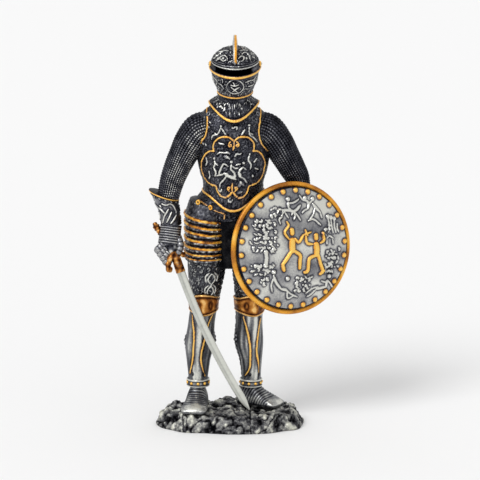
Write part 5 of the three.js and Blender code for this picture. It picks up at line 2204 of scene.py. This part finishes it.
@dataclass(frozen=True)
class RoundShield(Casting):
    """The round shield: a bright domed plate with figures in relief, a gold rim and gold studs."""

    name: str = "embossed_shield"
    node: str = "round_shield"
    slot: str = "shield_pewter"
    finish: AntiquePewter = BRIGHT
    radius: float = 18.0
    dome_height: float = 2.9
    step: float = 0.8
    plate: float = 0.9
    turn: float = math.radians(27.5)
    lean: float = math.radians(6)
    centre: Point3 = (16.0, -6.0, 49.7)
    fist: Point3 = (14.75, -3.4, 47.4)
    forearm: Point3 = (17.2, 0.1, 57.2)
    stud_count: int = 26
    stud_inset: float = 2.3
    face_rows: int = 96
    bead_rows: int = 34
    back_rows: int = 10
    columns: int = 560

    def rise(self, r: Array | float) -> Array | float:
        """Height of the face over the plane of the rim."""
        return self.step + self.dome_height * (1 - (r / self.radius) ** 2)

    def attitude(self) -> Array:
        """The rotation from the shield's own frame, +Z out of its face and +Y up, to the knight's."""
        return np.array(Matrix.Rotation(self.turn, 3, "Z") @ Matrix.Rotation(math.pi / 2 - self.lean, 3, "X"))

    def place(self, points: Array) -> Array:
        """Takes points from the shield's own frame to the knight's."""
        return points @ self.attitude().T + np.array(self.centre)

    def foot(self, x: float, y: float) -> Point3:
        """Where a handle meets the back of the plate, in the shield's own frame."""
        return (x, y, self.rise(math.hypot(x, y)) - self.plate * 0.6)

    def fighters(self) -> Carving:
        """The two gold fighters in the middle.

        Returns:
            The lines.
        """
        gold = Carving()
        kind = {"paint": Paint.GOLD, "height": 0.55}
        gold.add([(-1.2, 2.4), (-1.35, 1.0), (-1.3, -0.2)], width=0.95, ends=0.9, **kind)
        gold.add([(-1.1, 4.4), (-1.1, 5.2)], width=0.68, ends=1.0, **kind)
        gold.add([(-2.2, 2.9), (-3.3, 4.8), (-2.0, 6.5), (-2.4, 7.6)], width=0.36, **kind)
        gold.add([(-0.4, 2.9), (0.7, 1.8), (2.2, 3.6)], width=0.42, **kind)
        gold.add([(2.2, 3.6), (4.6, 4.1)], [(2.9, 4.9), (3.5, 3.2)], width=0.3, **kind)
        gold.add([(-1.6, -0.4), (-3.0, -2.2), (-4.4, -3.8)], [(-4.4, -3.8),
            (-4.0, -5.4)], width=0.55, ends=0.8, **kind)
        gold.add([(-0.8, -0.4), (0.9, -1.8), (0.8, -3.4), (0.7, -5.3)], width=0.52, ends=0.8, **kind)
        gold.add([(6.1, 0.5), (6.2, -0.8), (6.1, -2.1)], width=0.95, ends=0.9, **kind)
        gold.add([(6.2, 2.3), (6.2, 3.0)], width=0.68, ends=1.0, **kind)
        gold.add([(4.9, 0.8), (3.2, 1.3), (2.9, 3.2)], [(7.4, 0.8), (8.7, 1.6),
            (8.3, 3.6)], width=0.42, **kind)
        gold.add([(5.8, -2.3), (3.7, -3.1), (3.2, -6.2), (2.2, -6.6)], width=0.52, ends=0.8, **kind)
        gold.add([(6.6, -2.3), (7.2, -4.6), (8.0, -6.9), (7.1, -7.6)], width=0.52, ends=0.8, **kind)
        return gold

    def scene(self) -> Carving:
        """The silver riders, resting figures, trees and rocks round them.

        Returns:
            The lines.
        """
        lines = Carving()
        thick = {"width": 0.42, "height": 0.42}
        thin = {"width": 0.27, "height": 0.36}
        lines.add(
            [(-1.2, 12.6), (-1.4, 11.4)], [(-3.2, 10.8), (-1.6, 10.6), (0.1, 10.2)], [(0.1, 10.2),
             (1.2, 10.6), (2.2, 11.5)],
            [(4.4, 12.6), (5.0, 11.6), (4.5, 10.4)], [(6.2, 11.5), (7.2, 10.2), (8.2, 9.0)],
            [(-7.0, -6.6), (-6.2, -8.6), (-4.8, -10.4)], [(-4.8, -10.4), (-3.0, -11.0)],
            [(9.4, -9.8), (9.2, -11.4)], [(9.2, -11.4), (6.0, -11.6)],
            **thick,
        )
        lines.add(
            [(-1.1, 12.4), (0.6, 12.5), (2.1, 13.2)], [(-1.4, 11.4), (-0.4, 10.0), (-0.7, 9.2)],
            [(0.2, 10.0), (1.0, 9.0), (1.8, 7.6)], [(0.0, 10.0), (0.3, 8.8), (-0.2, 8.0)],
            [(-3.2, 10.6), (-3.6, 9.2), (-4.5, 8.6), (-4.3, 7.2)], [(-2.9, 10.5), (-2.2, 9.4), (-1.8, 8.6)],
            [(-3.2, 10.9), (-4.4, 11.0), (-4.9, 10.0)], [(4.4, 12.4), (3.2, 13.0), (2.4, 14.2)],
            [(4.5, 10.4), (3.4, 10.1), (2.6, 9.5)], [(5.0, 11.6), (6.2, 12.4)],
            [(8.2, 9.0), (8.6, 7.4)], [(6.8, 10.4), (6.0, 8.8), (4.4, 7.2)], [(4.2, 7.2), (5.6, 7.5),
             (6.6, 6.9), (8.0, 5.6)],
            [(10.6, 7.0), (10.8, 5.2), (10.4, 3.4)], [(11.5, 6.6), (11.6, 4.8), (11.9, 3.0)],
            [(12.6, 6.2), (12.5, 4.6), (12.9, 3.0)], [(13.6, 5.4), (13.4, 4.2), (13.8, 3.0)],
            [(10.4, 5.4), (11.4, 5.0)],
            [(-6.8, -7.0), (-7.6, -9.0), (-7.3, -11.0)], [(-3.0, -11.0), (-2.7, -13.2), (-1.2, -12.8)],
            [(-3.4, -10.6), (-2.0, -12.0), (0.2, -13.2)], [(9.6, -9.6), (10.6, -10.6), (11.4, -11.8)],
            [(6.0, -11.6), (4.4, -12.9), (3.2, -13.4)], [(6.6, -11.0), (4.6, -11.4), (2.8, -12.4)],
            [(9.2, -10.2), (7.6, -9.6)],
            **thin,
        )
        heads = [(-1.1, 13.5), (4.0, 13.3), (6.4, 12.8), (-2.9, -7.8), (-7.0, -5.6), (10.2, -8.6),
            (10.6, 7.6), (11.6, 7.2), (12.7, 6.8)]
        lines.add(*[[p] for p in heads], width=0.62, height=0.55)
        lines.add(
            [(-9.0, 0.0), (-8.9, -1.8), (-9.2, -3.6)], width=0.55, height=0.45, ends=1.2
        )
        lines.add([(9.4, 1.6), (10.5, 2.4), (11.8, 1.6)], [(9.6, 1.4), (9.6, 0.2)], [(11.6, 1.4),
            (11.6, 0.2)], **thin)
        return lines

    def thickets(self) -> Carving:
        """Knotty leaves and rocks in patches of the face.

        Returns:
            The lines.
        """
        patches = (
            (81, (-11.4, -5.8), (5.2, 9.2)), (82, (-12.6, -5.4), (0.4, 4.4)), (83, (-13.2, -6.6),
             (-5.8, -3.4)),
            (84, (-10.6, -8.2), (-8.4, -6.4)), (85, (8.9, 14.4), (-7.2, -0.8)), (86, (-0.4, 4.6),
             (-11.2, -7.3)),
            (87, (-6.4, -3.2), (9.2, 12.4)), (88, (8.6, 10.6), (3.0, 4.6)),
        )
        strokes = []
        for seed, across, up in patches:
            strokes += curls(seed, across, up, 1.25, 0.3, 0.4)
        strokes = [replace(s, tone=0.75 + 0.25 * s.tone) for s in strokes]
        return Carving([s for s in strokes if math.hypot(*s.path[0]) < 14.4])

    def face(self) -> Skin:
        """The plate with its relief, its rolled rim and its back.

        Returns:
            The skin.
        """
        inner = self.radius - 1.45
        face_end, bead_end = self.face_rows, self.face_rows + self.bead_rows
        r = np.concatenate(
            [
                np.linspace(0.05, inner, self.face_rows),
                np.full(self.bead_rows, self.radius),
                np.linspace(16.2, 0.05, self.back_rows),
            ]
        )
        z = self.rise(r)
        bead = math.pi * np.linspace(0.98, -0.75, self.bead_rows)
        tube = 0.72
        r[face_end:bead_end] = self.radius - tube + tube * np.cos(bead)
        z[face_end:bead_end] = 0.1 + tube * np.sin(bead)
        z[bead_end:] = self.rise(r[bead_end:]) - self.plate
        angle = np.linspace(0, TAU, self.columns, endpoint=False)
        u, v = r[:, None] * np.cos(angle), r[:, None] * np.sin(angle)
        grid = np.stack([u, v, np.broadcast_to(z[:, None], u.shape)], -1)
        skin = outward(Skin(grid))
        if skin.normals()[20, 0, 2] < 0:
            skin.grid = skin.grid[:, ::-1]
        u, v = skin.grid[..., 0], skin.grid[..., 1]
        front = np.zeros(u.shape, bool)
        front[:face_end] = True
        bead_rows = np.zeros(u.shape, bool)
        bead_rows[face_end + 2 : bead_end - 2] = True
        cloud = waves(np.stack([u, v], -1), 9.0, 91)
        skin.shade(np.clip(0.62 + 0.12 * cloud, 0, 1))
        for thing in (self.thickets(), self.scene(), self.fighters()):
            skin.carve(thing, u, v, front)
        studs = Carving()
        for k in range(self.stud_count):
            a = TAU * k / self.stud_count + 0.02
            out = self.radius - self.stud_inset
            studs.add([(out * math.cos(a), out * math.sin(a))], width=0.72, height=0.62, paint=Paint.GOLD)
        skin.carve(studs, u, v, front)
        skin.paint(Paint.GOLD, bead_rows)
        gap = np.zeros(u.shape, bool)
        gap[face_end - 2 : face_end + 3] = True
        skin.shade(np.full(u.shape, 0.02), gap)
        back = np.zeros(u.shape, bool)
        back[bead_end:] = True
        skin.shade(np.full(u.shape, 0.3), back)
        skin.grid = self.place(skin.grid)
        return skin

    def handles(self) -> list[Skin]:
        """The bar that the fist holds and the strap over the forearm, behind the plate.

        Returns:
            The closed skins.
        """
        fist = (np.array(self.fist) - self.centre) @ self.attitude()
        arm = (np.array(self.forearm) - self.centre) @ self.attitude()
        reach = 4.2
        grip = [
            self.foot(fist[0] - reach, fist[1]), (fist[0] - reach, fist[1], fist[2] + 1.2),
            (fist[0] - reach + 1.2, fist[1], fist[2]), (fist[0] + reach - 1.2, fist[1], fist[2]),
            (fist[0] + reach, fist[1], fist[2] + 1.2), self.foot(fist[0] + reach, fist[1]),
        ]
        strap = [
            (arm[0] + 4.4 * math.cos(a), arm[1], arm[2] - 4.2 * math.sin(a))
            for a in np.linspace(0, math.pi, 7)
        ]
        strap = [self.foot(strap[0][0], arm[1]), *strap, self.foot(strap[-1][0], arm[1])]
        made = []
        for path in (grip, strap):
            skin, _, _ = bar_skin(path, 0.5, 0.25, 18)
            skin.shade(np.full(skin.height.shape, 0.4))
            skin.grid = self.place(skin.grid)
            made.append(skin)
        return made

    def skins(self) -> list[Skin]:
        """The plate and its handles."""
        return [self.face(), *self.handles()]


@dataclass(frozen=True)
class RockyBase(Casting):
    """The rough oval of rock and turf that the knight stands on."""

    name: str = "rocky_base"
    node: str = "rocky_ground"
    slot: str = "ground_pewter"
    finish: AntiquePewter = ROCK
    half_width: float = 20.3
    half_depth: float = 11.4
    centre_y: float = -3.4
    thickness: float = 4.4

    def top(self, x: Array, y: Array) -> Array:
        """Height of the rolling ground before it is roughened.

        Args:
            x: Places across.
            y: Places from front to back.

        Returns:
            The height at each place.
        """
        rolling = 0.28 * np.sin(0.55 * x + 1) + 0.25 * np.sin(0.8 * y + 0.4 * x)
        rolling = rolling + 0.16 * np.sin(1.7 * x - 1.1 * y)
        lumps = ((-1.6, 5.2, 2.6, 1.6), (-14.6, 1.6, 1.5, 1.6), (3.4, -11.0, 1.8, 0.5),
            (15.5, -1.5, 2.4, 0.7))
        for lx, ly, wide, tall in lumps:
            rolling = rolling + tall * np.exp(-((x - lx) ** 2 + (y - ly) ** 2) / wide**2)
        return self.thickness + rolling

    def skins(self) -> list[Skin]:
        """The ground in one skin.

        Returns:
            The one skin, in a list.
        """
        angle = np.linspace(-math.pi, math.pi, 384, endpoint=False)[None]
        foot, wall, floor = [0.985, 1.0, 1.0], np.linspace(0.997, 0.9, 12), np.linspace(0.89, 0.02, 62)
        share = np.concatenate([foot, wall, floor])[:, None]
        foot, wall, floor = [0.0, 0.02, 0.1], np.linspace(0.16, 0.92, 12), np.linspace(0.94, 1, 62) ** 0.5
        rise = np.concatenate([foot, wall, floor])[:, None]
        wobble = 0.35 * np.sin(3 * angle + 1) + 0.3 * np.sin(7 * angle) + 0.2 * np.sin(11 * angle + 2)
        depth = self.half_depth - 0.4
        edge = Level(0.0, self.half_width - 0.5, depth, depth, round=2.35)
        rim = oval(edge.column(), angle, wobble)[0]
        x = rim[None, :, 0] * share
        y = self.centre_y + rim[None, :, 1] * share
        z = np.minimum(rise, 1) * self.top(x, y)
        skin = outward(Skin(np.stack([x, y, z], -1)))
        grid = skin.grid
        lumps = waves(grid, 3.4, 101) * 0.5 + waves(grid, 1.5, 102) * 0.3 + waves(grid, 0.8, 103) * 0.15
        cracks = np.abs(waves(grid * [1, 1, 0.6], 4.0, 104))
        crack = np.exp(-((cracks / 0.16) ** 2))
        height = 0.42 * lumps - 0.55 * crack
        quiet = np.minimum(smoothstep(0.0, 0.7, grid[..., 2]), 1)
        skin.lift(height * quiet * 0.9)
        skin.shade(np.clip(0.4 + 0.34 * lumps - 0.75 * crack, 0, 1))
        return [skin]


@dataclass(frozen=True)
class Studio:
    """The pale floor, the soft light and the long lens of the photograph."""

    floor_reach: float = 4.0
    sky: float = 0.75
    sun: float = 1.4
    sun_spread: float = math.radians(25)
    sun_way: Point3 = (0.55, 0.75, -0.9)
    aim: Point3 = (2.43, 0.0, 50.45)
    camera_rise: float = math.radians(13)
    distance: float = 2.5
    seen_width: float = 0.1296
    sensor: float = 36.0

    def floor(self) -> None:
        """The floor, as pale as paper."""
        mesh = bpy.data.meshes.new("floor")
        r = self.floor_reach
        mesh.from_pydata([(-r, -r, 0), (r, -r, 0), (r, r, 0), (-r, r, 0)], [], [(0, 1, 2, 3)])
        floor = bpy.data.objects.new("floor", mesh)
        bpy.context.scene.collection.objects.link(floor)
        g = Graph("paper_floor")
        shader = g.node("BsdfPrincipled", {"Base Color": (0.9, 0.9, 0.9, 1.0), "Roughness": 0.9})
        g.node("OutputMaterial", {"Surface": shader.outputs[0]})
        mesh.materials.append(g.material)

    def light(self) -> None:
        """Even white light from all round and a broad sun from the upper left."""
        world = bpy.data.worlds.new("studio")
        world.use_nodes = True
        bpy.context.scene.world = world
        background = world.node_tree.nodes["Background"]
        background.inputs[0].default_value = (1, 1, 1, 1)
        background.inputs[1].default_value = self.sky
        sun = bpy.data.lights.new("key", "SUN")
        sun.energy, sun.angle = self.sun, self.sun_spread
        lamp = bpy.data.objects.new("key", sun)
        lamp.rotation_euler = Vector(self.sun_way).to_track_quat("-Z", "Y").to_euler()
        bpy.context.scene.collection.objects.link(lamp)

    def camera(self) -> None:
        """The camera, in front of the knight and a little above."""
        back = Vector((0, -math.cos(self.camera_rise), math.sin(self.camera_rise)))
        lens = bpy.data.cameras.new("camera")
        lens.sensor_width = self.sensor
        lens.lens = self.sensor * self.distance / self.seen_width
        lens.clip_end = 50
        camera = bpy.data.objects.new("camera", lens)
        camera.location = Vector(self.aim) * MM + back * self.distance
        camera.rotation_euler = (-back).to_track_quat("-Z", "Y").to_euler()
        bpy.context.scene.collection.objects.link(camera)
        bpy.context.scene.camera = camera
        bpy.context.scene.view_settings.view_transform = "Standard"

    def build(self) -> None:
        """Sets the scene up for the picture."""
        self.floor()
        self.light()
        self.camera()


def main() -> None:
    """Builds every casting and the studio."""
    logging.basicConfig(level=logging.INFO, format="%(message)s")
    materials: dict[str, bpy.types.Material] = {}
    arms, trunk = [*SLEEVES, *GAUNTLETS], [Helmet(), Cuirass()]
    for casting in [*trunk, *arms, HipPlates(), *LEGS, CurvedSword(), RoundShield(), RockyBase()]:
        casting.build(materials)
    Studio().build()


if __name__ == "__main__":
    main()
